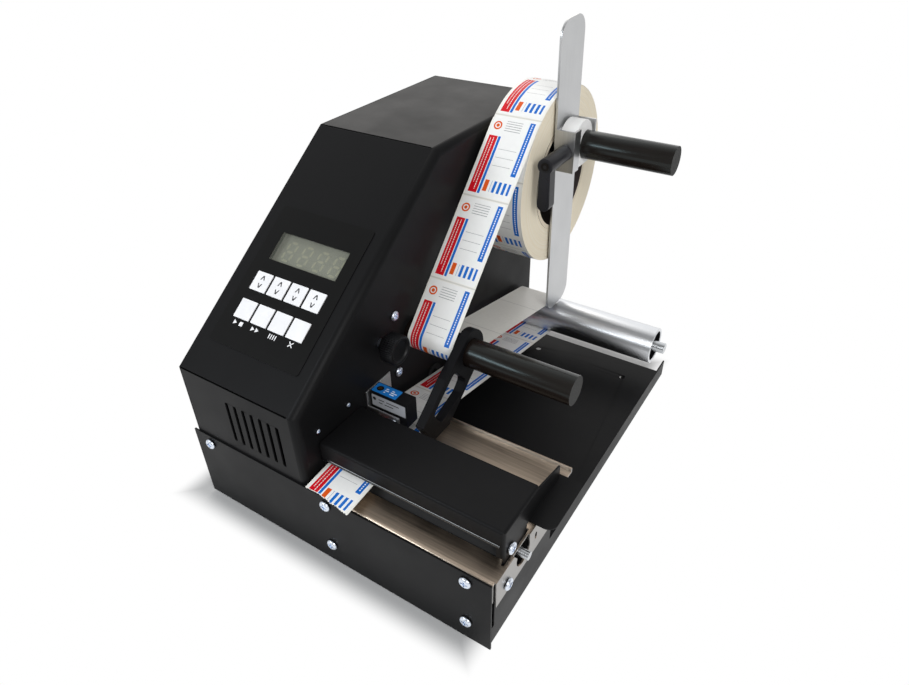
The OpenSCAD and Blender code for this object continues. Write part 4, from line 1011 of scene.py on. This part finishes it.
class LABELCOUNTER_OT_stage(PieceOperator, bpy.types.Operator):
    """Set the floor, the light and the camera"""

    bl_idname = "label_counter.stage"
    bl_label = "Stage"

    @staticmethod
    def camera(scene, s):
        """Adds the camera at the photograph's place."""
        data = bpy.data.cameras.new("camera")
        data.lens, data.sensor_width = s.lens, 36
        data.clip_start, data.clip_end = 0.01, 50
        camera = bpy.data.objects.new("camera", data)
        scene.collection.objects.link(camera)
        forward = Vector((-math.sin(s.azimuth) * math.cos(s.elevation),
                          math.cos(s.azimuth) * math.cos(s.elevation), -math.sin(s.elevation)))
        right = forward.cross(UP).normalized()
        up = right.cross(forward)
        right, up = (right * math.cos(s.tilt) + up * math.sin(s.tilt),
                     up * math.cos(s.tilt) - right * math.sin(s.tilt))
        turned = Matrix((right, up, -forward)).transposed().to_4x4()
        camera.matrix_world = Matrix.Translation(s.place) @ turned
        scene.camera = camera

    @staticmethod
    def floor(scene, s):
        """Adds the floor: grey paper in a zone under and near the object, a painted shadow that also takes
        the real shadow, and white elsewhere.
        """
        bm = bmesh.new()
        bmesh.ops.create_grid(bm, x_segments=8, y_segments=8, size=6)
        mesh = bpy.data.meshes.new("studio_floor")
        bm.to_mesh(mesh)
        bm.free()
        floor = bpy.data.objects.new("studio_floor", mesh)
        scene.collection.objects.link(floor)
        material = bpy.data.materials.new("studio_floor_painted_shadow")
        material.use_nodes = True
        tree = material.node_tree
        tree.nodes.clear()
        # Painted shadow: the zone of grey paper reaches past the feet on the left, in front and behind, and
        # fades at its edge; the real shadow shows within it
        low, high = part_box("rubber_feet")
        low, high = low - Vector((34, 38, 0)) * MM, high + Vector((0, 62, 0)) * MM
        fade_from, fade_to = -14 * MM, 10 * MM
        spot = add(tree, "TexCoord", out="Object")
        off = add(tree, "VectorMath", {0: spot, 1: (low + high) / 2}, operation="SUBTRACT")
        off = add(tree, "VectorMath", {0: off}, operation="ABSOLUTE")
        off = add(tree, "VectorMath", {0: off, 1: (high - low) / 2}, operation="SUBTRACT")
        x, y = (add(tree, "SeparateXYZ", {"Vector": off}, out=axis) for axis in "XY")
        most = add(tree, "Math", {0: x, 1: y}, operation="MAXIMUM")
        far = add(tree, "MapRange", {"Value": most, "From Min": fade_from, "From Max": fade_to},
                  interpolation_type="SMOOTHSTEP")
        paper = add(tree, "BsdfDiffuse", {"Color": rgba(s.floor)})
        white = add(tree, "Emission", {"Color": (1, 1, 1, 1), "Strength": 1.0})
        straight, glossy, through = (add(tree, "LightPath", out=f"Is {ray} Ray")
                                     for ray in ("Camera", "Glossy", "Transmission"))
        seen = add(tree, "Math", {0: straight, 1: glossy}, operation="ADD")
        seen = add(tree, "Math", {0: seen, 1: through}, operation="ADD", use_clamp=True)
        share = add(tree, "Math", {0: far, 1: seen}, operation="MULTIPLY")
        mixed = add(tree, "MixShader", {0: share, 1: paper, 2: white})
        add(tree, "OutputMaterial", {"Surface": mixed})
        mesh.materials.append(material)

    @staticmethod
    def room(scene):
        """Lights the world as a soft room, brighter behind the object on the left than in front and above."""
        world = bpy.data.worlds.new("studio")
        scene.world = world
        world.use_nodes = True
        tree = world.node_tree
        tree.nodes.clear()
        brightest, dim, bright = Vector((-0.6, 0.75, 0.3)).normalized(), 0.31, 1.15
        way = add(tree, "TexCoord", out="Generated")
        back = add(tree, "VectorMath", {0: way, 1: brightest}, operation="DOT_PRODUCT")
        level = add(tree, "MapRange",
                    {"Value": back, "From Min": 0.0, "From Max": 0.85, "To Min": dim, "To Max": bright},
                    interpolation_type="SMOOTHSTEP")
        room = add(tree, "Background", {"Color": (1, 1, 1, 1), "Strength": level})
        add(tree, "OutputWorld", {"Surface": room})

    @staticmethod
    def lamps(scene, s):
        """Adds the soft lamps, each aimed at a point of the object."""
        for name, place, aim, wide, tall, code, watts in (
                ("front_right_softbox", (1.25, -0.9, 1.1), (0, 0, 0.1), 0.9, 0.9, "#ffffff", s.key_light),
                ("front_left_window", (-0.6, -1.2, 0.92), (0, 0, 0.1), 0.8, 0.3, "#f2f9ff", s.window_light),
                ("rear_softbox", (-0.75, 1.05, 1.1), (0, 0, 0.25), 1.0, 1.0, "#fff8ee", s.rear_light)):
            lamp = bpy.data.lights.new(name, "AREA")
            lamp.shape = "RECTANGLE"
            lamp.size, lamp.size_y, lamp.energy, lamp.color = wide, tall, watts, linear(code)
            lit = bpy.data.objects.new(name, lamp)
            scene.collection.objects.link(lit)
            lit.location = place
            lit.rotation_mode = "QUATERNION"
            lit.rotation_quaternion = (Vector(aim) - Vector(place)).to_track_quat("-Z", "Y")

    def execute(self, context):
        s = self.settings(context).stage
        scene = context.scene
        scene.view_settings.view_transform = "Standard"
        self.camera(scene, s)
        self.floor(scene, s)
        self.room(scene)
        self.lamps(scene, s)
        return {"FINISHED"}


class LABELCOUNTER_PT_panel(bpy.types.Panel):
    """Sidebar list of the label counter's pieces and settings"""

    bl_idname = "LABELCOUNTER_PT_panel"
    bl_label = "Label counter"
    bl_space_type = "VIEW_3D"
    bl_region_type = "UI"
    bl_category = "Label counter"

    def draw(self, context):
        settings = context.scene.label_counter
        for operator in OPERATORS:
            self.layout.operator(operator.bl_idname)
        for group in (settings.finishes, settings.web, settings.stage):
            box = self.layout.box()
            for name in group.__annotations__:
                box.prop(group, name)


OPERATORS = (
    LABELCOUNTER_OT_stage, LABELCOUNTER_OT_finishes, LABELCOUNTER_OT_web, LABELCOUNTER_OT_roll,
    LABELCOUNTER_OT_panel, LABELCOUNTER_OT_fittings,
)
CLASSES = (
    LabelCounterFinishes, LabelCounterWeb, LabelCounterStage, LabelCounterSettings, *OPERATORS,
    LABELCOUNTER_PT_panel,
)


def register():
    for made in CLASSES:
        bpy.utils.register_class(made)
    bpy.types.Scene.label_counter = bpy.props.PointerProperty(type=LabelCounterSettings)


def unregister():
    del bpy.types.Scene.label_counter
    for made in reversed(CLASSES):
        bpy.utils.unregister_class(made)


def main():
    register()
    bpy.ops.label_counter.stage()
    bpy.ops.label_counter.finishes()
    bpy.ops.label_counter.web()
    bpy.ops.label_counter.roll()
    bpy.ops.label_counter.panel()
    bpy.ops.label_counter.fittings()


if __name__ == "__main__":
    main()
